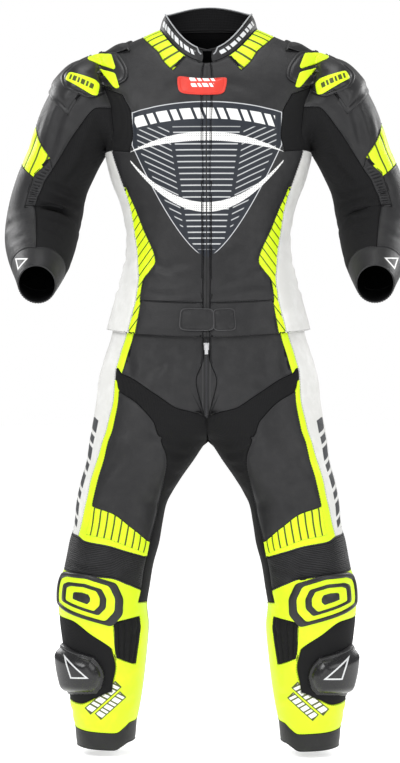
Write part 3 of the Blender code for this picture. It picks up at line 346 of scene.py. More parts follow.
# Arm net. Its first row is the body's armhole, so its sixteen columns start from the armhole's sixteen nodes.
ARM_COLUMNS = (
    "top top_front stripe_front rib_front front front_in in_front in_mid inner in_back back_in back_seam "
    "back back_out top_back crown"
).split()
ARM_KEYS = (0, 4, 8, 12, 16)
ARM_ROWS = (
    # name         levels: top front inner back top      angles of the sixteen columns, and the first again
    ("cap",       (0.034, 0.040, 0.126, 0.046, 0.034),
     (4, 28, 52, 76, 99, 118, 139, 160, 180, 202, 225, 248, 272, 295, 319, 341, 364)),
    ("upper",     (0.066, 0.084, 0.138, 0.082, 0.066),
     (7, 31, 54, 76, 97, 117, 138, 159, 180, 202, 225, 249, 273, 297, 321, 344, 367)),
    ("stripe_top", (0.118, 0.172, 0.158, 0.126, 0.118),
     (10, 33, 54, 74, 86, 112, 135, 158, 180, 202, 226, 250, 274, 298, 322, 346, 370)),
    ("stripe_mid", (0.155, 0.188, 0.180, 0.158, 0.155),
     (8, 31, 50, 68, 84, 110, 134, 157, 180, 202, 226, 250, 274, 297, 321, 344, 368)),
    ("stripe_low", (0.190, 0.204, 0.206, 0.190, 0.190),
     (5, 29, 46, 61, 82, 108, 132, 156, 180, 202, 225, 249, 273, 296, 319, 342, 365)),
    ("elbow",     (0.236, 0.238, 0.234, 0.236, 0.236),
     (3, 27, 46, 63, 81, 106, 131, 156, 180, 202, 225, 248, 272, 295, 317, 340, 363)),
    ("rib_low",   (0.284, 0.276, 0.270, 0.282, 0.284),
     (2, 26, 47, 65, 82, 106, 131, 156, 180, 202, 225, 248, 271, 294, 316, 339, 362)),
    ("forearm_high", (0.326, 0.330, 0.318, 0.326, 0.326),
     (1, 25, 47, 67, 86, 110, 133, 157, 180, 202, 225, 248, 270, 293, 315, 338, 361)),
    ("forearm_low", (0.366, 0.382, 0.366, 0.368, 0.366),
     (0, 24, 46, 67, 87, 111, 134, 157, 180, 202, 225, 248, 270, 292, 315, 338, 360)),
    ("cuff_top",  (0.406, 0.430, 0.416, 0.412, 0.406),
     (0, 23, 45, 66, 87, 111, 134, 157, 180, 202, 225, 248, 270, 292, 315, 338, 360)),
    ("cuff_end",  (0.480, 0.480, 0.480, 0.480, 0.480),
     (0, 23, 45, 67, 88, 111, 134, 157, 180, 202, 225, 248, 270, 292, 315, 338, 360)),
)

# Shoulder cup: its columns from back to front, the body column its inner edge is on and its arm column.
CUP_COLUMNS = (
    ("back", None, 13),
    ("back_in", "back_flank", 14),
    ("back_top", "side_back", 15),
    ("top", "side", 0),
    ("front_top", "side_front", 1),
    ("front_in", "flank", 2),
    ("front", None, 3),
)

# Knee puck: level at the front of the leg, slope of the row over a quarter turn outwards, and its angles.
SLIDER_ROWS = (
    ("edge_high", 1.130, -0.030),
    ("top_high", 1.142, -0.030),
    ("middle", 1.160, -0.014),
    ("top_low", 1.180, 0.004),
    ("edge_low", 1.194, 0.012),
)
SLIDER_ANGLES = (
    (12, 22, 40, 58, 68),
    (2, 16, 40, 62, 76),
    (-3, 11, 38, 64, 79),
    (0, 13, 36, 60, 74),
    (9, 18, 35, 52, 62),
)

COLLAR_COLUMNS = 18
COLLAR_ROWS = 3
COLLAR_END = 4.5  # degrees from the middle to the collar's front end at its base
COLLAR_ROUNDING = 3.0  # how much further back, in degrees, its rounded top corner starts

# ------------------------------------------------------------------------------------- smooth surfaces
def spread(keys, values, count):
    """Values known at some of count lines, filled in straight between them."""
    return np.interp(range(count), keys, values)


class Surface:
    """A form's net filled in: points, outward normals, degrees and levels, (along columns, along rows)."""

    def __init__(self, columns, rows, points, normals, degrees, levels, steps):
        self.columns = {name: i for i, name in enumerate(columns)}
        self.rows = {name: j for j, name in enumerate(rows)}
        self.points, self.normals, self.degrees, self.levels = points, normals, degrees, levels
        self.steps = steps

    def block(self, first_column, last_column, first_row, last_row):
        """The cells between two seam columns and two seam rows."""
        low, high = (self.columns.get(c, c) for c in (first_column, last_column))
        bottom, top = (self.rows.get(r, r) for r in (first_row, last_row))
        return {(i, j) for i in range(low, high) for j in range(bottom, top)}


def slopes_normals(points, outside):
    """Unit normals from the slopes along both directions, all turned to the outside."""
    around, along = np.gradient(points, axis=0), np.gradient(points, axis=1)
    normals = unit(np.cross(around, along))
    facing = np.sum(normals * outside, axis=-1).mean()
    return normals if facing > 0 else -normals


def fill(values, steps):
    """A table of (row, column) values as smooth values at (column, row) steps."""
    values = np.asarray(values, float)
    across, along = (np.linspace(0, n - 1, (n - 1) * s + 1) for n, s in zip(values.shape[::-1], steps))
    return monotone(monotone(values, along).T, across)


def net_surface(columns, rows, keys, form, steps, angles=None):
    """rows are (name, levels at the key columns, degrees of each column)."""
    levels = fill([spread(keys, row[1], len(columns)) for row in rows], steps)
    degrees = fill(angles or [row[2] for row in rows], steps)
    points = form(degrees, levels)
    middle = points.mean(axis=0, keepdims=True)
    normals = slopes_normals(points, points - middle)
    return Surface(columns, [row[0] for row in rows], points, normals, degrees, levels, steps)


def body_surface(steps):
    return net_surface(BODY_COLUMNS, BODY_ROWS, BODY_KEYS, body_points, steps)


def leg_surface(steps):
    """The leg's first and last columns are held on the middle plane, or on the inseam."""
    levels = np.array([spread(LEG_KEYS, row[1], len(LEG_COLUMNS)) for row in LEG_ROWS])
    angles = [list(row[2]) for row in LEG_ROWS]
    for row, level in zip(angles, levels):
        row[0], row[-1] = float(middle_angles(level[0])), 180 - float(middle_angles(level[-1]))
    surface = net_surface(LEG_COLUMNS, LEG_ROWS, LEG_KEYS, leg_points, steps, angles)
    degrees, levels = surface.degrees, surface.levels
    cell = steps[0]
    fade = np.linspace(1, 0, cell + 1)[:, None]
    degrees[: cell + 1] += (middle_angles(levels[0]) - degrees[0]) * fade
    degrees[-cell - 1 :] += (180 - middle_angles(levels[-1]) - degrees[-1]) * fade[::-1]
    surface.points = leg_points(degrees, levels)
    surface.points[[0, -1], :, 0] *= np.abs(surface.points[[0, -1], :, 0]) > 1e-4
    outside = surface.points - surface.points.mean(axis=0, keepdims=True)
    surface.normals = slopes_normals(surface.points, outside)
    above = np.abs(surface.points[..., 0]) < 1e-9
    surface.normals[above, 0] = 0
    surface.normals = unit(surface.normals)
    return surface


def armhole_line(body):
    """The body's surface along the armhole seam: from its top over the front, the armpit and the back."""
    (su, sv), column, row = body.steps, body.columns, body.rows
    flank, behind = column["flank"] * su, column["back_flank"] * su
    side, low, tip = column["side"] * su, row["armpit"] * sv, row["tip"] * sv
    part = body.points
    runs = (
        part[flank : side + 1, tip][::-1],
        part[flank, low : tip + 1][::-1],
        part[flank : behind + 1, low],
        part[behind, low : tip + 1],
        part[side : behind + 1, tip][::-1],
    )
    return np.concatenate([runs[0]] + [run[1:] for run in runs[1:]])


def arm_surface(steps):
    """The sleeve runs from the body's own armhole line onto the arm's hoops."""
    body = body_surface((steps[0], steps[0]))
    surface = net_surface(ARM_COLUMNS + ["top_again"], ARM_ROWS, ARM_KEYS, arm_points, steps)
    seam, cap = armhole_line(body), surface.points[:, 0]
    leave = surface.points[:, 1] - surface.points[:, 0]
    reach = np.linalg.norm(cap - seam, axis=-1, keepdims=True)
    arrive = unit(leave) * reach
    start = (cap - seam) * 1.15 - arrive * 0.15
    t = np.linspace(0, 1, steps[1] + 1)[:-1][None, :, None]
    seam, cap, start, arrive = (a[:, None] for a in (seam, cap, start, arrive))
    sleeve_head = (
        seam * (2 * t**3 - 3 * t**2 + 1)
        + start * (t**3 - 2 * t**2 + t)
        + cap * (3 * t**2 - 2 * t**3)
        + arrive * (t**3 - t**2)
    )
    surface.points = np.concatenate([sleeve_head, surface.points], axis=1)
    surface.points[-1] = surface.points[0]
    outside = surface.points - surface.points.mean(axis=0, keepdims=True)
    surface.normals = slopes_normals(surface.points, outside)
    ends = unit(surface.normals[0] + surface.normals[-1])
    surface.normals[0] = surface.normals[-1] = ends
    head = steps[1]
    for name in ("degrees", "levels"):
        known = getattr(surface, name)
        first = known[:, :1] if name == "degrees" else np.linspace(0, 1, head + 1)[None, :-1] * known[:, :1]
        setattr(surface, name, np.concatenate([np.broadcast_to(first, (len(known), head)), known], axis=1))
    surface.rows = {name: j for j, name in enumerate(["armhole"] + [row[0] for row in ARM_ROWS])}
    return surface


def collar_surface(steps):
    """One strip from the front round the back to the front, its two front corners rounded off."""
    height = np.linspace(-0.05, 1, COLLAR_ROWS * steps[1] + 1)[None]
    share = np.linspace(0, 1, COLLAR_COLUMNS * steps[0] + 1)[:, None]
    start = COLLAR_END + COLLAR_ROUNDING * height**3 + COLLAR_ROUNDING * 0.5 * np.minimum(1 - height, 1) ** 4
    degrees = start + (360 - 2 * start) * share
    levels = np.broadcast_to(height, degrees.shape)
    points = collar_points(degrees, levels)
    normals = slopes_normals(points, points - points.mean(axis=0, keepdims=True))
    names = [str(i) for i in range(COLLAR_COLUMNS + 1)]
    return Surface(names, names[: COLLAR_ROWS + 1], points, normals, degrees, levels, steps)


def cup_surface(steps):
    """The shoulder cup lies over the armhole seam, so it takes rows from both forms, back to front."""
    body, arm = body_surface((1, 1)), arm_surface((1, 1))
    rows = []
    for name, body_column, arm_column in CUP_COLUMNS:
        sleeve = [arm.points[arm_column, j] for j in (0, 1, 2)]
        if body_column:
            inner = body.points[body.columns[body_column], body.rows["cup_in"]]
        else:
            inner = sleeve[0] + (sleeve[0] - sleeve[1]) * 0.25
        rows.append([inner] + sleeve)
    nodes = np.array(rows)
    fine = [np.linspace(0, n - 1, (n - 1) * s + 1) for n, s in zip(nodes.shape[:2], steps)]
    flat = monotone(nodes.reshape(len(nodes), -1), fine[0]).reshape(len(fine[0]), nodes.shape[1], 3)
    flat = np.moveaxis(flat, 1, 0)
    points = monotone(flat.reshape(len(flat), -1), fine[1]).reshape(len(fine[1]), len(fine[0]), 3)
    points = np.moveaxis(points, 0, 1)
    middle = np.array([0.21, 0.0, -0.16])
    normals = slopes_normals(points, points - middle)
    share = np.broadcast_to(np.linspace(0, 1, len(fine[0]))[:, None], points.shape[:2])
    names = [name for name, _, _ in CUP_COLUMNS]
    return Surface(names, ["inner", "armhole", "cap", "outer"], points, normals, share * 360, share, steps)


def puck_surface(steps):
    """The block of the leg that a knee puck covers."""
    turns = np.array(SLIDER_ANGLES, float)
    levels = np.array([level + slope * row / 90 for (_, level, slope), row in zip(SLIDER_ROWS, turns)])
    degrees, levels = fill(turns, steps), fill(levels, steps)
    points = leg_points(degrees, levels)
    centre = points.mean(axis=(0, 1)) + np.array([0.0, 0.08, 0.0])
    names = [name for name, _, _ in SLIDER_ROWS]
    columns = [str(i) for i in range(len(SLIDER_ANGLES[0]))]
    return Surface(columns, names, points, slopes_normals(points, points - centre), degrees, levels, steps)


MAKERS = {
    "puck": puck_surface,
    "body": body_surface,
    "leg": leg_surface,
    "arm": arm_surface,
    "collar": collar_surface,
    "cup": cup_surface,
}
made_surfaces = {}


def surface_of(form, steps):
    if (form, steps) not in made_surfaces:
        made_surfaces[form, steps] = MAKERS[form](steps)
    return made_surfaces[form, steps]


# --------------------------------------------------------------------------------------------- creases
# A fold in the cloth: its line bends from one place on a form to another, bow metres aside, and it is
# width wide and deep deep, negative where the cloth stands up. side is 0 on both, or 1 left and -1 right.
Crease = namedtuple("Crease", "form side degrees_a level_a degrees_b level_b bow width deep")
CREASES = tuple(
    Crease(*row)
    for row in (
        # form  side  deg_a  level_a deg_b  level_b  bow   width   deep
        # the waist, where the jacket closes over the trousers
        ("body", 1, 6, 0.075, 40, 0.088, 0.006, 0.0080, 0.0024),
        ("body", -1, 5, 0.082, 36, 0.072, -0.005, 0.0075, 0.0022),
        ("body", 0, 20, 0.110, 52, 0.128, 0.007, 0.0090, 0.0022),
        ("body", -1, 8, 0.128, 30, 0.120, 0.004, 0.0100, 0.0018),
        ("body", 1, 4, 0.150, 34, 0.166, 0.008, 0.0110, 0.0018),
        ("body", 0, 60, 0.086, 104, 0.080, -0.006, 0.0085, 0.0022),
        ("body", 1, 64, 0.120, 108, 0.112, 0.006, 0.0090, 0.0020),
        ("body", -1, 62, 0.132, 112, 0.138, -0.005, 0.0090, 0.0022),
        ("body", 0, 70, 0.178, 112, 0.170, 0.005, 0.0110, 0.0016),
        ("body", 0, 118, 0.092, 172, 0.084, 0.008, 0.0095, 0.0026),
        ("body", 1, 126, 0.128, 176, 0.134, -0.007, 0.0100, 0.0024),
        ("body", -1, 122, 0.140, 168, 0.126, 0.006, 0.0100, 0.0022),
        ("body", 0, 132, 0.170, 170, 0.180, 0.006, 0.0120, 0.0018),
        # the armpit and the chest beside it
        ("body", 1, 40, 0.330, 26, 0.262, 0.010, 0.0110, 0.0024),
        ("body", -1, 42, 0.322, 30, 0.250, -0.008, 0.0105, 0.0022),
        ("body", 1, 34, 0.372, 24, 0.318, 0.006, 0.0100, 0.0018),
        ("body", 0, 30, 0.440, 30, 0.360, 0.007, 0.0120, 0.0024),
        ("body", -1, 36, 0.452, 40, 0.380, -0.006, 0.0100, 0.0020),
        ("body", 0, 128, 0.372, 150, 0.300, 0.009, 0.0120, 0.0026),
        ("body", 1, 134, 0.430, 156, 0.360, 0.008, 0.0130, 0.0020),
        ("body", -1, 124, 0.400, 140, 0.320, 0.006, 0.0110, 0.0022),
        ("body", 0, 98, 0.330, 118, 0.286, 0.004, 0.0090, 0.0022),
        ("body", 0, 74, 0.300, 84, 0.240, 0.005, 0.0100, 0.0018),
        ("body", 0, 10, 0.520, 24, 0.470, 0.004, 0.0120, 0.0012),
        # the upper arm, where the sleeve hangs from the shoulder
        ("arm", 1, 60, 0.050, 78, 0.150, 0.010, 0.0110, 0.0030),
        ("arm", -1, 62, 0.048, 72, 0.162, -0.009, 0.0120, 0.0030),
        ("arm", 0, 96, 0.052, 100, 0.170, 0.009, 0.0120, 0.0034),
        ("arm", 0, 128, 0.120, 112, 0.200, 0.006, 0.0090, 0.0030),
        ("arm", 1, 24, 0.096, 40, 0.150, 0.006, 0.0100, 0.0014),
        ("arm", -1, 30, 0.090, 34, 0.160, -0.006, 0.0110, 0.0016),
        ("arm", 0, 232, 0.060, 250, 0.170, 0.009, 0.0120, 0.0030),
        ("arm", 0, 290, 0.050, 280, 0.150, -0.008, 0.0130, 0.0024),
        # inside the elbow, folds that run round the bend
        ("arm", 1, 84, 0.212, 142, 0.204, 0.006, 0.0070, 0.0030),
        ("arm", -1, 86, 0.206, 146, 0.212, -0.005, 0.0072, 0.0032),
        ("arm", 0, 92, 0.232, 158, 0.230, 0.005, 0.0070, 0.0036),
        ("arm", 1, 78, 0.258, 150, 0.250, -0.006, 0.0075, 0.0038),
        ("arm", -1, 80, 0.254, 140, 0.262, 0.006, 0.0070, 0.0036),
        ("arm", 0, 96, 0.280, 160, 0.274, 0.004, 0.0075, 0.0034),
        ("arm", 1, 88, 0.306, 138, 0.296, 0.006, 0.0080, 0.0028),
        ("arm", -1, 90, 0.300, 150, 0.304, -0.005, 0.0080, 0.0030),
        ("arm", 0, 100, 0.334, 152, 0.322, 0.005, 0.0090, 0.0022),
        ("arm", 0, 186, 0.222, 214, 0.262, 0.005, 0.0080, 0.0022),
        ("arm", 0, 176, 0.276, 208, 0.300, -0.005, 0.0085, 0.0022),
        # the back of the elbow and the forearm
        ("arm", 1, 250, 0.244, 300, 0.236, 0.004, 0.0100, 0.0016),
        ("arm", -1, 256, 0.252, 306, 0.248, 0.004, 0.0100, 0.0016),
        ("arm", 1, 20, 0.300, 52, 0.330, 0.006, 0.0110, 0.0016),
        ("arm", -1, 14, 0.310, 50, 0.336, -0.006, 0.0110, 0.0018),
        ("arm", 0, 30, 0.362, 66, 0.384, 0.006, 0.0100, 0.0016),
        ("arm", 1, 90, 0.384, 130, 0.372, 0.006, 0.0080, 0.0022),
        ("arm", -1, 96, 0.376, 138, 0.384, -0.006, 0.0080, 0.0022),
        ("arm", 0, 190, 0.360, 228, 0.372, 0.005, 0.0090, 0.0018),
        # the lap and the fork
        ("leg", 1, 26, 0.572, 20, 0.668, 0.006, 0.0150, 0.0026),
        ("leg", -1, 22, 0.570, 30, 0.660, -0.007, 0.0160, 0.0026),
        ("leg", 1, 44, 0.578, 40, 0.650, 0.005, 0.0140, 0.0022),
        ("leg", -1, 46, 0.574, 36, 0.640, 0.006, 0.0130, 0.0022),
        ("leg", -1, 12, 0.568, 9, 0.620, 0.004, 0.0110, 0.0020),
        ("leg", 1, 5, 0.610, 30, 0.640, 0.006, 0.0110, 0.0018),
        ("leg", -1, 6, 0.600, 34, 0.622, -0.006, 0.0110, 0.0018),
        ("leg", 1, 14, 0.575, 22, 0.650, 0.006, 0.0120, 0.0014),
        ("leg", -1, 18, 0.580, 12, 0.668, 0.006, 0.0120, 0.0014),
        ("leg", 1, -30, 0.745, 6, 0.716, 0.006, 0.0090, 0.0026),
        ("leg", -1, -32, 0.752, 8, 0.728, -0.006, 0.0095, 0.0026),
        ("leg", 0, -58, 0.768, -16, 0.752, 0.005, 0.0085, 0.0026),
        ("leg", 1, -70, 0.792, -34, 0.792, -0.005, 0.0090, 0.0022),
        ("leg", -1, -72, 0.804, -38, 0.796, 0.005, 0.0090, 0.0022),
        ("leg", 0, 20, 0.760, 40, 0.820, 0.008, 0.0130, 0.0018),
        ("leg", 1, -14, 0.800, 2, 0.868, 0.008, 0.0130, 0.0016),
        ("leg", -1, -10, 0.790, 8, 0.850, -0.008, 0.0130, 0.0016),
        ("leg", 0, -60, 0.856, -30, 0.846, 0.005, 0.0110, 0.0016),
        ("leg", 0, -84, 0.826, -58, 0.838, 0.005, 0.0090, 0.0020),
        # the seat and the back of the thigh
        ("leg", 1, 150, 0.690, 186, 0.716, 0.008, 0.0120, 0.0028),
        ("leg", -1, 148, 0.700, 184, 0.722, 0.007, 0.0120, 0.0028),
        ("leg", 0, 136, 0.726, 200, 0.752, 0.008, 0.0110, 0.0032),
        ("leg", 1, 140, 0.764, 204, 0.782, -0.007, 0.0105, 0.0026),
        ("leg", -1, 144, 0.770, 206, 0.776, 0.007, 0.0105, 0.0026),
        ("leg", 0, 88, 0.700, 118, 0.740, 0.006, 0.0120, 0.0018),
        ("leg", 0, 130, 0.560, 150, 0.640, 0.006, 0.0140, 0.0014),
        # behind the knee
        ("leg", 1, 132, 0.962, 224, 0.972, 0.006, 0.0085, 0.0034),
        ("leg", -1, 136, 0.956, 220, 0.964, -0.006, 0.0085, 0.0034),
        ("leg", 0, 128, 0.994, 232, 1.000, 0.005, 0.0080, 0.0040),
        ("leg", 1, 134, 1.024, 226, 1.016, -0.006, 0.0085, 0.0040),
        ("leg", -1, 130, 1.016, 228, 1.026, 0.006, 0.0085, 0.0040),
        ("leg", 0, 138, 1.050, 218, 1.056, 0.005, 0.0090, 0.0030),
        ("leg", 0, 144, 1.086, 206, 1.080, -0.005, 0.0100, 0.0022),
        # under the band of the knee, and the shin
        ("leg", 1, -50, 0.966, 4, 0.982, 0.006, 0.0070, 0.0026),
        ("leg", -1, 4, 0.978, 62, 0.966, -0.006, 0.0070, 0.0026),
        ("leg", 0, -62, 1.070, -36, 1.092, 0.004, 0.0090, 0.0014),
        ("leg", 1, -60, 1.200, -28, 1.188, 0.005, 0.0100, 0.0014),
        ("leg", -1, -56, 1.206, -24, 1.222, 0.005, 0.0100, 0.0014),
        ("leg", 0, 150, 1.180, 210, 1.190, 0.006, 0.0110, 0.0018),
        ("leg", 0, 140, 1.240, 220, 1.236, -0.005, 0.0100, 0.0018),
        ("leg", 0, 60, 1.236, 100, 1.230, 0.004, 0.0100, 0.0014),
    )
)
FORMS = {"body": body_points, "arm": arm_points, "leg": leg_points, "collar": collar_points}
CREASE_STEPS = 14


def crease_lines(form, side):
    """(points of the fold's line, width, depth) of the folds on one side of a form."""
    lines = []
    share = np.linspace(0, 1, CREASE_STEPS)
    for crease in CREASES:
        if crease.form != form or crease.side not in (0, side):
            continue
        bend = 4 * crease.bow * share * (1 - share)
        degrees = crease.degrees_a + (crease.degrees_b - crease.degrees_a) * share
        levels = crease.level_a + (crease.level_b - crease.level_a) * share + bend
        points = FORMS[form](degrees, levels)
        lines.append((points, crease.width, crease.deep))
    return lines


def creased(points, form, side):
    """How far the folds push each point in: a valley with a low ridge on both its sides."""
    depth = np.zeros(len(points))
    for line, width, deep in crease_lines(form, side):
        reach = width * 3
        near = np.all((points > line.min(0) - reach) & (points < line.max(0) + reach), axis=1)
        if not near.any():
            continue
        start, along = line[:-1], np.diff(line, axis=0)
        away = points[near][:, None] - start[None]
        share = np.clip((away * along).sum(-1) / (along**2).sum(-1), 0, 1)
        gap = np.linalg.norm(away - share[..., None] * along, axis=-1)
        nearest = gap.argmin(1)
        where = (nearest + share[np.arange(len(nearest)), nearest]) / len(along)
        fade = np.sin(np.pi * np.clip(where, 0.02, 0.98)) ** 0.7
        x = gap.min(1) / width
        depth[near] += deep * fade * (np.exp(-(x**2) * 1.6) - 0.55 * np.exp(-((x - 1.35) ** 2) * 2.2))
    return depth


# ---------------------------------------------------------------------------------------------- panels
def select_only(obj):
    bpy.ops.object.select_all(action="DESELECT")
    obj.select_set(True)
    bpy.context.view_layer.objects.active = obj


def finish_mesh(name, maker, materials):
    mesh = bpy.data.meshes.new(name)
    maker.to_mesh(mesh)
    maker.free()
    obj = bpy.data.objects.new(name, mesh)
    for finish in materials:
        mesh.materials.append(finish)
    bpy.context.scene.collection.objects.link(obj)
    return obj


def thicken(obj, wall, lining=True):
    step = obj.modifiers.new("wall", "SOLIDIFY")
    step.thickness = wall
    step.offset = -1.0
    step.use_rim = True
    step.material_offset = 1 if lining else 0
    select_only(obj)
    bpy.ops.object.modifier_apply(modifier=step.name)
    bpy.ops.object.shade_smooth_by_angle(angle=math.radians(50))


def sheet_maker(surface, cells, sides):
    """An open sheet over the cells, with where each corner lies on the form as two UV maps."""
    maker = bmesh.new()
    place = maker.loops.layers.uv.new("form")
    lines = maker.loops.layers.uv.new("net")
    (su, sv), found = surface.steps, {}
    for side in sides:
        for i, j in sorted(cells):
            for a in range(su):
                for b in range(sv):
                    corners = []
                    for u, v in ((a, b), (a + 1, b), (a + 1, b + 1), (a, b + 1)):
                        key = (i * su + u, j * sv + v)
                        x, y, z = surface.points[key]
                        at_middle = len(sides) > 1 and abs(x) < 1e-7
                        name = (0 if at_middle else side, *key)
                        if name not in found:
                            found[name] = maker.verts.new((x * side, y, z))
                        corners.append((found[name], key))
                    if side * sides[0] < 0:
                        corners.reverse()
                    face = maker.faces.new([vert for vert, _ in corners])
                    for loop, (_, key) in zip(face.loops, corners):
                        loop[place].uv = (surface.degrees[key] / 360, surface.levels[key])
                        loop[lines].uv = (key[0] / su, key[1] / sv)
    first = sorted(cells)[0]
    normal = surface.normals[first[0] * su + su // 2, first[1] * sv + sv // 2]
    maker.faces.ensure_lookup_table()
    maker.normal_update()
    middle = maker.faces[(su // 2) * sv + sv // 2].normal
    if middle.dot(Vector(normal * (sides[0], 1, 1))) < 0:
        bmesh.ops.reverse_faces(maker, faces=maker.faces[:])
    bmesh.ops.remove_doubles(maker, verts=maker.verts[:], dist=1e-6)
    return maker


def seam_rings(maker, widths):
    """Two narrow rings of faces inside the open edge. Returns the ring number of the points near the edge."""
    ring = {vert: 0 for edge in maker.edges if edge.is_boundary for vert in edge.verts}
    region = maker.faces[:]
    for number, width in enumerate(widths, 1):
        made = bmesh.ops.inset_region(
            maker,
            faces=region,
            use_boundary=True,
            use_even_offset=True,
            use_interpolate=True,
            thickness=width,
        )["faces"]
        for face in made:
            for vert in face.verts:
                ring.setdefault(vert, number)
        inside = set(made)
        region = [face for face in region if face not in inside]
    return ring


edge_lines = []  # (points and normals of a line of stitches, the group that they are sewn in)


def ring_loops(maker, ring, number):
    """The closed lines of points of one ring."""
    links = {}
    for edge in maker.edges:
        a, b = edge.verts
        if ring.get(a) == number and ring.get(b) == number:
            links.setdefault(a, []).append(b)
            links.setdefault(b, []).append(a)
    loops, used = [], set()
    for start in links:
        if start in used:
            continue
        line, here = [start], start
        used.add(start)
        while True:
            onward = [v for v in links[here] if v not in used]
            if not onward:
                break
            here = onward[0]
            used.add(here)
            line.append(here)
        if len(line) > 5:
            loops.append(line)
    return loops


def panel(name, form, cells, steps, wall, materials, sides, shape=None, sewn=None, lift=0.0, puff=0.0006, rings=SEAM_RINGS):
    """A block of cells as one panel of cloth. shape(points, turns and levels, net places, way in) adds height."""
    surface = surface_of(form, steps)
    maker = sheet_maker(surface, cells, sides)
    ring = seam_rings(maker, rings)
    maker.normal_update()
    verts = maker.verts[:]
    points = np.array([v.co for v in verts])
    normals = np.array([v.normal for v in verts])
    rim = kdtree.KDTree(sum(1 for v in verts if ring.get(v) == 0))
    for number, vert in enumerate(v for v in verts if ring.get(v) == 0):
        rim.insert(vert.co, number)
    rim.balance()
    away = np.array([rim.find(v.co)[2] for v in verts])
    height = np.full(len(verts), lift) + puff * np.clip(away / 0.012, 0, 1)
    for side in sides:
        here = points[:, 0] * side > -1e-6
        mirrored = points[here] * (side, 1, 1)
        fold = creased(mirrored, form, side) if form in FORMS else 0.0
        height[here] -= fold * np.clip(away[here] / 0.006, 0.15, 1)
    if shape:
        layers = maker.loops.layers.uv["form"], maker.loops.layers.uv["net"]
        form_at, net_at = (np.array([v.link_loops[0][layer].uv for v in verts]) for layer in layers)
        height += shape(points, form_at, net_at, away)
    height -= np.array([SEAM_DEPTHS[ring[v]] if v in ring else 0.0 for v in verts])
    for vert, normal, raised in zip(verts, normals, height):
        vert.co += Vector(normal * raised)
    if sewn:
        maker.normal_update()
        for line in ring_loops(maker, ring, 2):
            edge_lines.append((np.array([v.co for v in line]), np.array([v.normal for v in line]), sewn))
    obj = finish_mesh(name, maker, materials)
    thicken(obj, wall)
    return obj


# ------------------------------------------------------------------------------------------- materials
class Wire:
    """A socket of a finish's nodes, so that shader maths is written as sums."""

    def __init__(self, finish, socket):
        self.finish, self.socket = finish, socket

    def maths(self, operation, *values, clamp=False):
        settings = {"operation": operation, "use_clamp": clamp}
        return self.finish.node("ShaderNodeMath", settings, *values)

    def __add__(self, other):
        return self.maths("ADD", self, other)

    def __radd__(self, other):
        return self.maths("ADD", other, self)

    def __sub__(self, other):
        return self.maths("SUBTRACT", self, other)

    def __rsub__(self, other):
        return self.maths("SUBTRACT", other, self)

    def __mul__(self, other):
        return self.maths("MULTIPLY", self, other)

    def __rmul__(self, other):
        return self.maths("MULTIPLY", other, self)

    def __truediv__(self, other):
        return self.maths("DIVIDE", self, other)

    def __pow__(self, other):
        return self.maths("POWER", self, other)

    def __abs__(self):
        return self.maths("ABSOLUTE", self)

    def fraction(self):
        return self.maths("FRACT", self)

    def least(self, other):
        return self.maths("MINIMUM", self, other)

    def most(self, other):
        return self.maths("MAXIMUM", self, other)

    def above(self, edge, soft):
        """1 where the value is over the edge, with a soft step."""
        return self.maths("MULTIPLY", self - edge, 1 / soft, clamp=True)

    def below(self, edge, soft):
        return self.maths("MULTIPLY", edge - self, 1 / soft, clamp=True)

    def within(self, low, high, soft):
        return self.above(low, soft) * self.below(high, soft)


class Finish:
    """One material: its nodes, and the shader that they feed."""

    def __init__(self, name, color, roughness, **constants):
        self.material = bpy.data.materials.new(name)
        self.material.use_nodes = True
        self.tree = self.material.node_tree
        self.tree.nodes.clear()
        self.shader = self.tree.nodes.new("ShaderNodeBsdfPrincipled")
        output = self.tree.nodes.new("ShaderNodeOutputMaterial")
        self.tree.links.new(self.shader.outputs[0], output.inputs["Surface"])
        self.shader.inputs["Base Color"].default_value = (*color, 1)
        self.shader.inputs["Roughness"].default_value = roughness
        for socket, value in constants.items():
            self.shader.inputs[socket.replace("_", " ")].default_value = value

    def node(self, kind, settings, *values, output=0, **named):
        node = self.tree.nodes.new(kind)
        for key, value in settings.items():
            setattr(node, key, value)
        for key, value in list(enumerate(values)) + [(k.replace("_", " "), v) for k, v in named.items()]:
            self.feed(node.inputs[key], value)
        return Wire(self, node.outputs[output])

    def feed(self, socket, value):
        if isinstance(value, Wire):
            self.tree.links.new(value.socket, socket)
        elif hasattr(value, "__len__") and len(value) == 3 and socket.type == "RGBA":
            socket.default_value = (*value, 1)
        else:
            socket.default_value = value

    def where(self):
        """The object's own coordinates: the vector, then x, y and z."""
        at = self.node("ShaderNodeTexCoord", {}, output="Object")
        return at, *(self.node("ShaderNodeSeparateXYZ", {}, at, output=i) for i in range(3))

    def net(self, layer):
        at = self.node("ShaderNodeUVMap", {"uv_map": layer})
        return tuple(self.node("ShaderNodeSeparateXYZ", {}, at, output=i) for i in range(2))

    def noise(self, at, scale, detail=3.0, roughness=0.55):
        return self.node(
            "ShaderNodeTexNoise", {}, Vector=at, Scale=scale, Detail=detail, Roughness=roughness
        )

    def cells(self, at, scale, feature="DISTANCE_TO_EDGE"):
        return self.node("ShaderNodeTexVoronoi", {"feature": feature}, Vector=at, Scale=scale)

    def mix(self, share, first, second):
        node = self.tree.nodes.new("ShaderNodeMix")
        node.data_type = "RGBA"
        self.feed(node.inputs["Factor"], share)
        self.feed(node.inputs[6], first)
        self.feed(node.inputs[7], second)
        return Wire(self, node.outputs[2])

    def set(self, socket, value):
        self.feed(self.shader.inputs[socket], value)

    def bump(self, height, distance, strength=1.0):
        self.set("Normal", self.node("ShaderNodeBump", {}, Height=height, Distance=distance, Strength=strength))


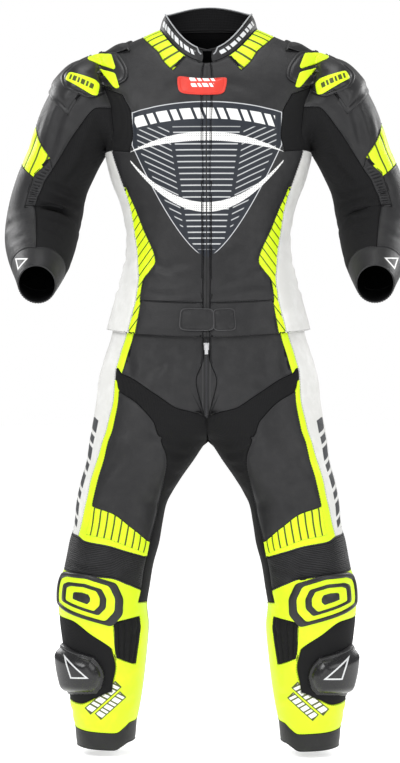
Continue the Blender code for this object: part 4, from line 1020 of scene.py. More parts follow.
BLACK = (0.011, 0.011, 0.012)
BLACK_HIGH = (0.028, 0.028, 0.029)
NEON = (0.74, 0.95, 0.012)
NEON_DARK = (0.56, 0.78, 0.010)
WHITE = (0.80, 0.80, 0.79)
WHITE_DARK = (0.62, 0.62, 0.60)
RED = (0.72, 0.052, 0.032)
PRINT_GREY = (0.46, 0.47, 0.48)
NAVY = (0.012, 0.016, 0.024)
LINE_GREY = (0.50, 0.51, 0.53)


def leather(name, low, high, roughness=0.48, grain=0.00010, **constants):
    """Grained leather: pebbles, fine creases, a slow change of tone, and its raised parts paler."""
    finish = Finish(name, low, roughness, **{"Specular_IOR_Level": 0.32, **constants})
    at, x, y, z = finish.where()
    pebble = finish.cells(at, 620)
    fine = finish.noise(at, 1500, 2.0)
    wrinkle = finish.noise(at, 46, 5.0, 0.62)
    tone = finish.noise(at, 9, 3.0)
    # paler where the wrinkle noise is high, that is on the raised parts of the wrinkle bump, and in slow patches of
    # tone
    paler_share = (wrinkle * 0.6 + tone * 0.5).above(0.50, 0.34)
    finish.base = finish.mix(paler_share * 0.75, low, high)
    finish.height = pebble.least(0.32) * 1.6 + fine * 0.35 + wrinkle * 5.0
    finish.rough = roughness - 0.10 + tone * 0.14 + fine * 0.06
    finish.grain = grain
    finish.at = (at, x, y, z)
    return finish


def close(finish):
    """Joins what a finish has worked out to its shader."""
    finish.set("Base Color", finish.base)
    finish.set("Roughness", finish.rough)
    finish.bump(finish.height, finish.grain * 2, 0.9)
    return finish.material


def paint(finish, mask, color, flat=0.0):
    """A print: it covers the colour, and smooths the grain a little."""
    finish.base = finish.mix(mask, finish.base, color)
    if flat:
        finish.rough = finish.rough + mask * flat


def ribbed(name, low, high, pitch_x, pitch_z):
    """Knit stretch cloth: a fine waffle of ribs, matt."""
    finish = Finish(name, low, 0.82, Specular_IOR_Level=0.16)
    at, x, y, z = finish.where()
    turn = math.tau
    rows = (z * (turn / pitch_z)).maths("SINE", z * (turn / pitch_z))
    slant = (x * 0.7 + y * 0.7) * (turn / pitch_x)
    columns = slant.maths("SINE", slant)
    tone = finish.noise(at, 14, 3.0)
    weave = (rows * 0.5 + 0.5) * 0.6 + (columns * 0.5 + 0.5) * 0.4
    finish.base = finish.mix(weave * 0.6 + tone * 0.3, low, high)
    finish.height = weave + finish.noise(at, 900, 2.0) * 0.5
    finish.rough = 0.74 + tone * 0.14
    finish.grain = 0.0003
    finish.at = (at, x, y, z)
    return finish


def blocks(along, count, gap, level):
    """Slanted blocks in a row, wide and narrow in turn: along runs 0 to 1 over the row, level 0 to 1 across it."""
    cell = (along * count + level * 0.20).fraction()
    wide, narrow = cell.within(gap, 0.60, 0.02), cell.within(0.60 + gap, 1.0, 0.02)
    return wide.most(narrow) * along.within(0, 1, 0.004) * level.within(0, 1, 0.04)


def chest_leather():
    """The jacket's front: black, with a shield outline, bars, a row of blocks and two crescents."""
    finish = leather("chest_leather", BLACK, BLACK_HIGH)
    at, x, y, z = finish.at
    side = abs(x)
    square = x * x
    # the shield
    drop = (z + 0.411).most(0.0) * (1 / 0.212)
    half = (drop**0.68 * 0.139).least(0.135)
    top = -0.131 - square
    inside = (half - side).least(top - z)
    paint(finish, inside.above(0.0, 0.001) * 0.85, NAVY)
    paint(finish, inside.within(-0.0011, 0.0011, 0.0005) * (z + 0.405).above(0.0, 0.004), LINE_GREY)
    # its bars, level in the middle and slanted beside it
    middle = 0.0566 + (z + 0.212) * 0.1435
    level_bars = (z * (1 / 0.0105)).fraction().within(0.0, 0.27, 0.06)
    slant_bars = ((z - side * 0.49) * (1 / 0.0105)).fraction().within(0.0, 0.25, 0.06)
    tall = z.within(-0.398, -0.176, 0.002)
    centre = level_bars * (middle - side).above(0.0, 0.001) * (half - side).above(0.006, 0.001) * tall
    wings = slant_bars * (side - middle).above(0.006, 0.001) * (half - side).above(0.009, 0.001) * tall
    paint(finish, centre.most(wings), PRINT_GREY)
    # the perforated crescents
    upper = (z + 0.203 + square * 0.9).above(0.0, 0.0008) * (-0.186 - square * 1.72 - z).above(0.0, 0.0008)
    lower = (z - (square * 4.8 - 0.33)).above(0.0, 0.0008) * ((square * 4.05 - 0.312) - z).above(0.0, 0.0008)
    crescents = upper.most(lower) * side.below(0.139, 0.001)
    dots_x, dots_z = (x * 250).fraction() - 0.5, (z * 250).fraction() - 0.5
    dots = (dots_x * dots_x + dots_z * dots_z).below(0.055, 0.03)
    paint(finish, crescents * (1 - dots * 0.8), WHITE)
    # the row of blocks, on the shield's arch, with two fine lines over it
    rise = z + square * 0.9
    along = (x + 0.131) * (1 / 0.2546)
    mark = blocks(along, 6.0, 0.11, (rise + 0.163) * (1 / 0.021))
    paint(finish, rise.within(-0.168, -0.137, 0.001) * side.below(0.134, 0.001) * 0.9, NAVY)
    paint(finish, mark, WHITE)
    paint(finish, side.below(0.0013, 0.0005), (0.004, 0.004, 0.004))
    finish.height = finish.height - dots * crescents * 3.0
    return close(finish)


def striped_neon(name, coordinate, width):
    """Fluorescent yellow leather with sewn black lines; its weak emission is a painted glow. coordinate(finish) is 1
    from one line to the next.
    """
    # Emission_Strength 0.10 in NEON: a painted glow, so the leather gives off light of its own
    finish = leather(name, NEON_DARK, NEON, 0.46, Emission_Strength=0.10, Emission_Color=(*NEON, 1))
    run = coordinate(finish)
    line = run.fraction().within(0.5 - width / 2, 0.5 + width / 2, 0.03)
    paint(finish, line, BLACK)
    finish.height = finish.height - line * 9.0
    return close(finish)


def flank_run(finish):
    _, x, _, z = finish.at
    return (abs(x) * 0.8 + z * 0.6) * (1 / 0.0115)


def sleeve_run(finish):
    return finish.net("form")[0] * 18.0


def thigh_run(finish):
    turn, _ = finish.net("form")
    across, row = finish.net("net")
    here = row.below(8.82, 0.02) * across.below(5.99, 0.02) * row.above(7.99, 0.02)
    return (turn * (360 / 9.6) + 100.32) * here


def neck_run(finish):
    return finish.net("form")[0] * 36.0


def hard_black(name, roughness=0.22):
    finish = Finish(name, (0.012, 0.012, 0.013), roughness, Specular_IOR_Level=0.4)
    at, x, y, z = finish.where()
    scuff = finish.noise(at, 160, 4.0, 0.7)
    tone = finish.noise(at, 18, 2.0)
    finish.base = finish.mix(scuff.above(0.60, 0.20) * 0.6, (0.011, 0.011, 0.012), (0.060, 0.060, 0.062))
    finish.rough = roughness + scuff.above(0.52, 0.3) * 0.30 + tone * 0.06
    finish.height = finish.noise(at, 420, 3.0)
    finish.grain = 0.00004
    finish.at = (at, x, y, z)
    return finish


def beyond(u, v, corners):
    """How far outside a shape of straight sides a place is; less than 0 inside it."""
    turn = sum(ax * by - bx * ay for (ax, ay), (bx, by) in zip(corners, corners[1:] + corners[:1]))
    if turn < 0:
        corners = corners[::-1]
    distance = None
    for (ax, ay), (bx, by) in zip(corners, corners[1:] + corners[:1]):
        length = math.hypot(bx - ax, by - ay)
        side = (u - ax) * ((by - ay) / length) - (v - ay) * ((bx - ax) / length)
        distance = side if distance is None else distance.most(side)
    return distance


def outlined(u, v, corners, wide):
    return beyond(u, v, corners).within(-wide, 0.0, wide * 0.25)


def brushed_metal(name, color, roughness):
    finish = Finish(name, color, roughness, Metallic=1.0)
    at, x, y, z = finish.where()
    scratch = finish.noise(finish.node("ShaderNodeMapping", {}, at, Scale=(1.0, 1.0, 0.08)), 3000, 3.0)
    finish.base = finish.mix(scratch * 0.6, color, tuple(c * 0.45 for c in color))
    finish.rough = roughness + scratch * 0.2
    finish.height = scratch
    finish.grain = 0.00001
    return close(finish)


FLY_TAPE_HALF = 0.0058  # metres, from the middle to the turned edge beside the fly's teeth


def make_materials():
    made = {}
    made["black"] = close(leather("black_leather", BLACK, BLACK_HIGH))
    made["chest"] = chest_leather()
    # the weak emission (Emission_Strength 0.10) is a painted glow: the neon leather gives off light of its own
    made["neon"] = close(leather("neon_leather", NEON_DARK, NEON, 0.46, Emission_Strength=0.10, Emission_Color=(*NEON, 1)))
    made["flank"] = striped_neon("flank_leather", flank_run, 0.18)
    made["sleeve"] = striped_neon("sleeve_leather", sleeve_run, 0.19)
    made["thigh"] = striped_neon("thigh_leather", thigh_run, 0.24)
    made["neck"] = striped_neon("neck_leather", neck_run, 0.24)
    made["white"] = close(leather("white_leather", WHITE_DARK, WHITE, 0.50))
    made["stretch"] = close(ribbed("stretch_knit", (0.0045, 0.0045, 0.005), (0.0125, 0.0125, 0.013), 0.0026, 0.0022))
    made["pleat"] = close(leather("pleated_leather", (0.012, 0.012, 0.013), (0.030, 0.030, 0.032), 0.55))
    # paler grey leather for the belt straps' rolled rims: a painted highlight along their edges
    made["rim"] = close(leather("turned_edge", (0.045, 0.045, 0.047), (0.075, 0.075, 0.078), 0.5))
    fly = leather("fly_leather", BLACK, BLACK_HIGH)
    _, x, y, z = fly.at
    paint(fly, abs(x).below(FLY_TAPE_HALF, 0.0006), (0.007, 0.007, 0.0075))
    # a paler band along each turned edge beside the tape: a painted highlight on the fold's ridge, which the cloth
    # itself does not raise
    paint(fly, abs(x).within(FLY_TAPE_HALF, FLY_TAPE_HALF + 0.0012, 0.0004), (0.060, 0.060, 0.063))
    made["fly"] = close(fly)
    made["tape"] = close(ribbed("zip_tape", (0.006, 0.006, 0.0065), (0.015, 0.015, 0.016), 0.0014, 0.0011))
    lining = ribbed("mesh_lining", (0.004, 0.004, 0.0045), (0.010, 0.010, 0.011), 0.0030, 0.0030)
    made["lining"] = close(lining)
    made["thread"] = close(leather("black_thread", (0.030, 0.030, 0.032), (0.060, 0.060, 0.062), 0.6))
    made["pale_thread"] = close(leather("grey_thread", (0.30, 0.30, 0.31), (0.42, 0.42, 0.43), 0.6))
    made["piping"] = close(leather("grey_piping", (0.30, 0.31, 0.32), (0.44, 0.45, 0.46), 0.5))
    made["metal"] = brushed_metal("zip_metal", (0.55, 0.55, 0.56), 0.28)
    made["dark_metal"] = brushed_metal("zip_teeth", (0.10, 0.10, 0.11), 0.34)
    made["cup"] = close(hard_black("moulded_shield", 0.34))
    made["cup_shell"] = close(hard_black("moulded_cup", 0.42))
    # the weak emission (Emission_Strength 0.10) is a painted glow: the insert gives off light of its own
    low = leather("cup_insert", NEON_DARK, NEON, 0.40, Emission_Strength=0.10, Emission_Color=(*NEON, 1))
    _, x, y, z = low.at
    side = abs(x)
    run = (side - 0.206) * (1 / 0.046)
    paint(low, blocks(run, 3.0, 0.14, (z + 0.1045 - (side - 0.206) * 0.44) * (1 / 0.011)), BLACK)
    made["cup_low"] = close(low)

    white_side = leather("thigh_side_leather", WHITE_DARK, WHITE, 0.50)
    turn, level = white_side.net("form")
    run, across = (level - 0.70) * 5.0, (turn * 360 - 60.0) * (1 / 18.0)
    paint(white_side, blocks(run, 4.0, 0.12, across), (0.020, 0.022, 0.026))
    made["thigh_side"] = close(white_side)

    # the weak emission (Emission_Strength 0.10) is a painted glow: the shin leather gives off light of its own
    shin = leather("shin_leather", NEON_DARK, NEON, 0.46, Emission_Strength=0.10, Emission_Color=(*NEON, 1))
    _, x, y, z = shin.at
    side = abs(x)
    u = (side - 0.180) * -0.741 + (z + 1.212) * 0.671
    v = (side - 0.180) * 0.671 + (z + 1.212) * 0.741
    for shift, half in ((0.0098, 0.036), (-0.0098, 0.029)):
        outer = (u * u).below(half * half * 1.18, 0.00004) * abs(v - shift).below(0.0086, 0.0006)
        inner = blocks((u + half) * (0.5 / half), 3.0, 0.13, (v - shift + 0.0066) * (1 / 0.0132))
        front = y.below(-0.02, 0.004)
        paint(shin, outer * front, BLACK)
        paint(shin, inner * front, WHITE)
    made["shin"] = close(shin)

    collar = leather("collar_leather", BLACK, BLACK_HIGH)
    turn, height = collar.net("form")
    for start in (15.0, 285.0):
        run = (turn * 360 - start) * (1 / 60.0)
        paint(collar, blocks(run, 4.0, 0.12, (height - 0.34) * (1 / 0.34)), (0.60, 0.61, 0.62))
    made["collar"] = close(collar)

    cuff = leather("cuff_leather", BLACK, BLACK_HIGH)
    _, x, y, z = cuff.at
    corners = [(0.316, -0.415), (0.345, -0.413), (0.336, -0.437)]
    mark = outlined(abs(x), z, corners, 0.0032)
    paint(cuff, mark * y.below(-0.09, 0.01), WHITE)
    made["cuff"] = close(cuff)

    puck = hard_black("knee_puck", 0.20)
    _, x, y, z = puck.at
    corners = [(0.258, -1.124), (0.244, -1.168), (0.208, -1.166)]
    mark = outlined(abs(x), z, corners, 0.0035)
    paint(puck, mark, (0.62, 0.63, 0.64))
    made["puck"] = close(puck)

    patch = leather("red_patch", (0.60, 0.040, 0.026), RED, 0.42, 0.00006)
    _, x, y, z = patch.at
    for low, half in ((-0.0925, 0.024), (-0.1035, 0.021)):
        run = (x + 0.008 + half) * (0.5 / half)
        paint(patch, blocks(run, 2.0, 0.12, (z - low) * (1 / 0.0075)), WHITE)
    made["red"] = close(patch)
    return made


# -------------------------------------------------------------------------------------- cloth pieces
made = make_materials()
NARROW_RINGS = (0.0004, 0.0006)  # the seam rings of a strip that has no room for wider ones
FLAT_LEAST = 0.0105  # the narrowest cut that counts as a sheet


def cut_size(form, cells, halves):
    """The cut of a panel: the width and length of the piece that it is cut from, and its area."""
    points = surface_of(form, (4, 4)).points
    widths, lengths, area = {}, {}, 0.0
    for i, j in cells:
        part = points[i * 4 : i * 4 + 5, j * 4 : j * 4 + 5]
        across, along = np.diff(part, axis=0), np.diff(part, axis=1)
        widths[j] = widths.get(j, 0) + np.linalg.norm(across, axis=-1).sum(0).mean()
        lengths[i] = lengths.get(i, 0) + np.linalg.norm(along, axis=-1).sum(1).mean()
        area += np.linalg.norm(np.cross(across[:, :-1], along[:-1]), axis=-1).sum()
    width, area = max(max(widths.values()) * halves, FLAT_LEAST), area * halves
    length = max(lengths.values())
    length = min(max(length, area / (0.98 * width)), area / (0.34 * width))
    return width, length, area


def belongs(obj, node, body=SUIT):
    """Attaches a piece to the body that it moves with, and hides the CAD node that it stands for, if one is given."""
    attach(obj, body)
    if node:
        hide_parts(node)


def cloth(node, form, cells, finish, wall=LEATHER, steps=(8, 8), halves=1, rests_on=(), side=1, fullness=1.0, **extra):
    """A panel that stands for a CAD node. fullness is how much longer than its place a pleated cut is; it is not used.
    """
    materials = [made[finish], made["lining"]]
    sides = (1, -1) if halves == 2 else (side,)
    obj = panel(node + "_cloth", form, cells, steps, wall, materials, sides, **extra)
    belongs(obj, node)
    width, length, area = cut_size(form, cells, halves)
    length * fullness
    area * fullness
    return obj


def cloth_pair(node, form, cells, finish, rests_on=(), **extra):
    for word, side in (("left", 1), ("right", -1)):
        beside = [name.replace("SIDE", word) for name in rests_on]
        cloth(f"{node}_{word}", form, cells, finish, side=side, rests_on=beside, **extra)


def groove(run, half_width, deep):
    """A narrow valley where run passes a half."""
    return -deep * np.exp(-((((run % 1.0) - 0.5) / half_width) ** 2))


def flank_lines(points, form_at, net_at, away):
    return groove((np.abs(points[:, 0]) * 0.8 + points[:, 2] * 0.6) / 0.0115, 0.12, 0.0010)


def sleeve_lines(points, form_at, net_at, away):
    return groove(form_at[:, 0] * 18.0, 0.10, 0.0011)


def thigh_lines(points, form_at, net_at, away):
    here = (net_at[:, 1] < 8.82) & (net_at[:, 1] > 8.0) & (net_at[:, 0] < 5.99)
    return groove(form_at[:, 0] * (360 / 9.6) + 100.32, 0.13, 0.0012) * here


def neck_lines(points, form_at, net_at, away):
    return groove(form_at[:, 0] * 36.0, 0.16, 0.0008)


def knee_ribs(points, form_at, net_at, away):
    """Close level ribs over the knee, flatter where they run out at the sides."""
    wave = np.abs(np.sin(math.pi * 19 * net_at[:, 1])) ** 0.6
    return (wave - 0.4) * 0.0016 * np.clip(away / 0.004, 0, 1)


def elbow_pleats(points, form_at, net_at, away):
    """Deep uneven pleats that let the elbow bend."""
    drift = 0.16 * np.sin(net_at[:, 1] * 2.3) + 0.08 * np.sin(net_at[:, 0] * 3.0 + 1.0)
    wave = np.abs(np.sin(math.pi * (form_at[:, 1] / 0.0062 + drift))) ** 0.7
    return (wave - 0.7) * 0.0032 * np.clip(away / 0.007, 0, 1)


def knee_side_ridges(points, form_at, net_at, away):
    wave = np.abs(np.sin(math.pi * 5 * net_at[:, 0])) ** 0.8
    fine = np.sin(math.tau * points[:, 2] / 0.0042)
    return ((wave - 0.4) * 0.0022 + fine * 0.00035) * np.clip(away / 0.004, 0, 1)


def make_jacket():
    body = surface_of("body", (8, 8))
    wedge = body.block("wedge", "flank", "wedge_low", "wedge_top")
    thin_line = body.block("wedge", "flank", "band_top", "wedge_low")
    band_strip = body.block("wedge", "flank", "hem", "band_top")
    gusset = body.block("wedge", "flank", "armpit", "arm_high")
    neck = body.block("chest", "side", "patch_top", "neckline")
    front = body.block("zip_edge", "flank", "band_top", "neckline") - wedge - thin_line - gusset
    front |= body.block("flank", "side", "tip", "patch_top")
    cloth_pair("jacket_front", "body", front - neck, "chest", ["front_zip", "jacket_side_SIDE"], sewn="dark")
    cloth_pair(
        "neck_stripe", "body", neck, "neck", ["collar", "jacket_front_SIDE"], shape=neck_lines, steps=(14, 10)
    )
    cloth_pair(
        "flank_stripe",
        "body",
        wedge | thin_line | band_strip,
        "flank",
        ["jacket_front_SIDE", "jacket_side_SIDE"],
        shape=flank_lines,
        steps=(10, 16),
        rings=NARROW_RINGS,
    )
    side = body.block("flank", "back_flank", "hem", "armpit")
    cloth_pair("jacket_side", "body", side, "white", ["jacket_front_SIDE", "jacket_back"], sewn="pale")
    back = body.block("back_flank", "spine", "hem", "neckline")
    back |= body.block("side", "back_flank", "tip", "neckline")
    cloth(
        "jacket_back", "body", back, "black", halves=2, rests_on=["jacket_side_left", "jacket_side_right"], sewn="dark"
    )
    band = body.block("zip_edge", "wedge", "hem", "band_top")
    cloth_pair("waistband_front", "body", band, "black", ["jacket_front_SIDE", "front_zip"], sewn="dark")
    placket = body.block("middle", "zip_edge", "hem", "neckline")
    cloth(
        "front_zip", "body", placket, "chest", wall=0.0014, steps=(6, 8), halves=2, rests_on=["jacket_front_left", "jacket_front_right"]
    )
    cloth_pair(
        "armpit_gusset", "body", gusset, "stretch", ["jacket_front_SIDE", "sleeve_inner_SIDE"], wall=STRETCH
    )
    collar = surface_of("collar", (6, 10)).block(0, COLLAR_COLUMNS, 0, COLLAR_ROWS)
    cloth("collar", "collar", collar, "collar", steps=(6, 10), rests_on=["jacket_back"], sewn="dark")


def make_sleeves():
    arm = surface_of("arm", (8, 8))
    stripes = arm.block("top", "rib_front", "stripe_top", "stripe_low")
    stripes |= arm.block("top_back", "top_again", "stripe_top", "stripe_low")
    rib = arm.block("rib_front", "front", "stripe_top", "rib_low")
    outer = arm.block("top", "front", "armhole", "cuff_top")
    outer |= arm.block("back_seam", "top_again", "armhole", "cuff_top")
    inner = arm.block("front", "back_seam", "armhole", "cuff_top")
    cloth_pair(
        "sleeve_stripe", "arm", stripes, "sleeve", ["sleeve_outer_SIDE"], shape=sleeve_lines, steps=(14, 8)
    )
    cloth_pair(
        "elbow_rib", "arm", rib, "pleat", ["sleeve_outer_SIDE", "sleeve_inner_SIDE"], shape=elbow_pleats, steps=(14, 28), fullness=1.6, rings=NARROW_RINGS
    )
    cloth_pair(
        "sleeve_outer", "arm", outer - stripes - rib, "black", ["jacket_front_SIDE", "jacket_back"], sewn="dark"
    )
    cloth_pair(
        "sleeve_inner", "arm", inner, "stretch", ["sleeve_outer_SIDE", "armpit_gusset_SIDE"], wall=STRETCH, steps=(8, 10)
    )
    cuff = arm.block("top", "top_again", "cuff_top", "cuff_end")
    cloth_pair(
        "cuff", "arm", cuff, "cuff", ["sleeve_outer_SIDE", "sleeve_inner_SIDE"], steps=(8, 12), sewn="dark"
    )


def make_trousers():
    leg = surface_of("leg", (8, 8))
    vee = leg.block("middle", "strip_out", "vee_top", "vee_low")
    inner = leg.block("middle", "inner_seam", "vee_low", "band_low")
    behind = leg.block("seat_in", "middle_back", "vee_low", "band_low")
    calf = leg.block("back_seam", "middle_back", "band_low", "ankle_top")
    knee_in = leg.block("middle", "inner_seam", "band_low", "shield_mid")
    stretch = vee | inner | behind | calf | knee_in
    cloth_pair(
        "trouser_stretch", "leg", stretch, "stretch", ["trouser_back_SIDE", "thigh_front_SIDE"], wall=STRETCH
    )
    yoke = leg.block("fly_edge", "strip_in", "waist", "vee_top")
    cloth_pair("trouser_front", "leg", yoke, "black", ["fly_zip", "hip_strip_SIDE"], sewn="dark")
    hip = leg.block("strip_in", "strip_out", "waist", "vee_top")
    cloth_pair(
        "hip_strip", "leg", hip, "neon", ["trouser_front_SIDE", "trouser_side_SIDE"], rings=NARROW_RINGS
    )
    strip = leg.block("strip_in", "strip_out", "vee_low", "stripes_low")
    stripes = leg.block("inner_seam", "strip_in", "stripes_top", "stripes_low")
    cloth_pair(
        "thigh_stripes", "leg", strip | stripes, "thigh", ["thigh_front_SIDE", "knee_band_SIDE"], shape=thigh_lines, steps=(16, 10), rings=NARROW_RINGS
    )
    side = leg.block("strip_out", "back_seam", "waist", "stripes_low")
    cloth_pair(
        "trouser_side", "leg", side, "thigh_side", ["hip_strip_SIDE", "trouser_back_SIDE"], sewn="pale"
    )
    thigh = leg.block("inner_seam", "strip_in", "vee_low", "stripes_top")
    cloth_pair(
        "thigh_front", "leg", thigh, "black", ["trouser_stretch_SIDE", "thigh_stripes_SIDE"], sewn="dark"
    )
    band = leg.block("inner_seam", "back_seam", "stripes_low", "band_low")
    cloth_pair(
        "knee_band", "leg", band, "pleat", ["thigh_stripes_SIDE", "shin_panel_SIDE"], shape=knee_ribs, steps=(6, 76), fullness=1.6
    )
    back = leg.block("back_seam", "middle_back", "waist", "vee_low")
    back |= leg.block("back_seam", "seat_in", "vee_low", "band_low")
    cloth_pair(
        "trouser_back", "leg", back, "black", ["trouser_side_SIDE", "trouser_stretch_SIDE"], sewn="dark"
    )
    insert = leg.block("inner_seam", "inner_front", "shield_low", "field_top")
    field = leg.block("mid_front", "side_back", "field_top", "field_low")
    shin = leg.block("inner_seam", "back_seam", "band_low", "ankle_top")
    shin |= leg.block("middle", "inner_seam", "shield_mid", "ankle_top")
    cloth_pair(
        "shin_panel", "leg", shin - insert - field, "shin", ["knee_band_SIDE", "ankle_cuff_SIDE"], sewn="dark"
    )
    cloth_pair(
        "knee_rib", "leg", insert, "stretch", ["shin_panel_SIDE"], wall=STRETCH, shape=knee_side_ridges, steps=(40, 40)
    )
    cloth_pair("slider_field", "leg", field, "tape", ["shin_panel_SIDE"])
    ankle = leg.block("middle", "middle_back", "ankle_top", "ankle_end")
    cloth_pair("ankle_cuff", "leg", ankle, "black", ["shin_panel_SIDE"], sewn="dark")
    fly = leg.block("middle", "fly_edge", "waist", "vee_top")
    cloth(
        "fly_zip", "leg", fly, "fly", wall=0.0014, steps=(6, 10), halves=2, rests_on=["trouser_front_left", "trouser_front_right"]
    )


# -------------------------------------------------------------------------------- patches on the cloth
def rounded(corners, radius, across):
    """A closed line of points with its corners rounded. across is the metres in one degree."""
    corners = np.array(corners, float) * (across, 1)
    line = []
    for before, here, after in zip(np.roll(corners, 1, 0), corners, np.roll(corners, -1, 0)):
        back, on = before - here, after - here
        reach = min(radius, np.linalg.norm(back) * 0.45, np.linalg.norm(on) * 0.45)
        start, end = here + unit(back) * reach, here + unit(on) * reach
        for t in np.linspace(0, 1, 6):
            line.append(start * (1 - t) ** 2 + here * 2 * t * (1 - t) + end * t**2)
    line = np.array(line)
    gaps = np.linalg.norm(np.diff(np.vstack([line, line[:1]]), axis=0), axis=1)
    run = np.concatenate([[0], np.cumsum(gaps)])
    closed = np.vstack([line, line[:1]])
    at = np.linspace(0, run[-1], max(48, int(run[-1] / 0.0035)), endpoint=False)
    return np.stack([np.interp(at, run, closed[:, k]) for k in (0, 1)], axis=-1) / (across, 1)


def form_frame(form, degrees, levels):
    """Points of a form with their outward normals."""
    points = FORMS[form](degrees, levels)
    around = FORMS[form](degrees + 0.5, levels) - FORMS[form](degrees - 0.5, levels)
    along = FORMS[form](degrees, levels + 0.002) - FORMS[form](degrees, levels - 0.002)
    normals = unit(np.cross(around, along))
    core = FORMS[form](np.asarray(degrees) + 180.0, levels)
    facing = np.sum(normals * (points - core), axis=-1, keepdims=True)
    return points, normals * np.sign(facing)


def patch(name, form, outline, profile, materials, wall, side=1, at=None):
    """A piece laid on the cloth: rings of its outline, drawn in towards its middle.

    profile is (share of the way out, height, material) for each ring, from the rim in.
    """
    maker = bmesh.new()
    place = maker.loops.layers.uv.new("form")
    middle = outline.mean(0) if at is None else np.array(at)
    rings = []
    for share, height, number in profile:
        degrees, levels = (middle + (outline - middle) * share).T
        points, normals = form_frame(form, degrees, levels)
        points = (points + normals * height) * (side, 1, 1)
        verts = [maker.verts.new(p) for p in points]
        rings.append((verts, number, degrees / 360, levels))
    count = len(outline)
    for (low, number, turns, levels), (high, _, turns_in, levels_in) in zip(rings, rings[1:]):
        for k in range(count):
            n = (k + 1) % count
            face = maker.faces.new((low[k], low[n], high[n], high[k]))
            face.material_index = number
            spots = ((turns[k], levels[k]), (turns[n], levels[n]), (turns_in[n], levels_in[n]), (turns_in[k], levels_in[k]))
            for loop, spot in zip(face.loops, spots):
                loop[place].uv = spot
    last, number, turns, levels = rings[-1]
    points, normals = form_frame(form, np.array([middle[0]]), np.array([middle[1]]))
    centre = maker.verts.new((points + normals * profile[-1][1])[0] * (side, 1, 1))
    for k in range(count):
        n = (k + 1) % count
        face = maker.faces.new((last[k], last[n], centre))
        face.material_index = number
        for loop, spot in zip(face.loops, ((turns[k], levels[k]), (turns[n], levels[n]), tuple(middle / (360, 1)))):
            loop[place].uv = spot
    maker.normal_update()
    if sum((f.normal.dot(Vector(normals[0] * (side, 1, 1))) for f in maker.faces)) < 0:
        bmesh.ops.reverse_faces(maker, faces=maker.faces[:])
    obj = finish_mesh(name, maker, materials)
    thicken(obj, wall, lining=False)
    return obj


KNEE_ACROSS = 0.00148  # metres in a degree round the knee
CHEST_ACROSS = 0.0022


def make_patches():
    outline = rounded([(-17.5, 0.531), (12.0, 0.531), (8.6, 0.482), (-13.6, 0.482)], 0.008, CHEST_ACROSS)
    profile = [(1, 0.0004, 0), (1, 0.0016, 0), (0.97, 0.0022, 0), (0.90, 0.0022, 0), (0.885, 0.0016, 0), (0.87, 0.0022, 0), (0.5, 0.0024, 0), (0.2, 0.0024, 0)]
    label = patch("chest_patch_label", "body", outline, profile, [made["red"]], 0.0010)
    belongs(label, "chest_patch")
    # the belt tab: a strap over another, both rounded
    under = rounded([(4.0, 0.049), (16.5, 0.049), (16.5, 0.010), (4.0, 0.010)], 0.007, CHEST_ACROSS)
    over = rounded([(-15.2, 0.049), (4.6, 0.049), (4.6, 0.010), (-15.2, 0.010)], 0.009, CHEST_ACROSS)
    # the rings with material 1 take the paler rim leather: a painted highlight along the straps' outline
    rim = [(1, 0.0003, 0), (1, 0.0018, 1), (0.965, 0.0027, 1), (0.94, 0.0028, 0), (0.87, 0.0020, 0), (0.84, 0.0028, 0), (0.4, 0.0030, 0)]
    lower = patch("belt_tab_under", "body", under, rim, [made["black"], made["rim"]], 0.0016)
    belongs(lower, None)
    raised = [(share, height + 0.0022, number) for share, height, number in rim]
    upper = patch("belt_tab_strap", "body", over, raised, [made["black"], made["rim"]], 0.0016)
    belongs(upper, "belt_tab")
    # the knee shields: a raised border, a sunk field, an oval ring and its middle
    corners = [(-18, 0.995), (20, 0.980), (60, 0.978), (75, 0.985), (76, 1.034), (40, 1.050), (-14, 1.072), (-30, 1.050), (-30, 1.023)]
    outline = rounded(corners, 0.007, KNEE_ACROSS)
    profile = [
        (1.0, 0.0004, 0), (1.0, 0.0026, 0), (0.985, 0.0040, 0), (0.93, 0.0050, 0), (0.86, 0.0050, 0), (0.82, 0.0040, 0),
        (0.80, 0.0024, 1), (0.72, 0.0024, 1), (0.60, 0.0026, 0), (0.585, 0.0040, 0), (0.50, 0.0044, 0), (0.46, 0.0038, 0),
        (0.445, 0.0024, 1), (0.34, 0.0026, 1), (0.22, 0.0030, 0), (0.20, 0.0044, 0), (0.08, 0.0048, 0),
    ]
    for word, side in (("left", 1), ("right", -1)):
        shield = patch(f"knee_shield_{word}_armour", "leg", outline, profile, [made["cup"], made["neon"]], 0.0016, side)
        belongs(shield, f"knee_shield_{word}")


# ------------------------------------------------------------------------------------------ hard parts
def cup_profile(points, form_at, net_at, away):
    """A flat flange, a groove, then a dome."""
    flange = np.clip(away / 0.0025, 0, 1) * 0.0030
    groove_here = 0.0016 * np.exp(-(((away - 0.0085) / 0.0016) ** 2))
    dome = np.clip((away - 0.0095) / 0.016, 0, 1)
    return flange - groove_here + (1 - (1 - dome) ** 2) * 0.0062


def make_cups():
    cells = surface_of("cup", (10, 10)).block("back", "front", "inner", "outer") - {(0, 0), (5, 0)}
    for word, side in (("left", 1), ("right", -1)):
        obj = panel(
            f"shoulder_cup_{word}_shell", "cup", cells, (12, 12), 0.0022, [made["cup_shell"], made["lining"]], (side,),
            shape=cup_profile, lift=0.0024, puff=0.0,
        )
        belongs(obj, f"shoulder_cup_{word}")


def puck_profile(points, form_at, net_at, away):
    """A thick edge all round, a low step, and a long dome worn flatter at its top."""
    edge = np.clip(away / 0.0022, 0, 1) ** 0.6 * PUCK_EDGE
    step = np.clip((away - 0.0045) / 0.003, 0, 1) * 0.0015
    dome = np.clip((away - 0.006) / 0.019, 0, 1)
    return edge + step + (1 - (1 - dome) ** 2.2) * PUCK_CROWN


PUCK_SEAT, PUCK_EDGE, PUCK_CROWN = 0.0022, 0.0058, 0.0155


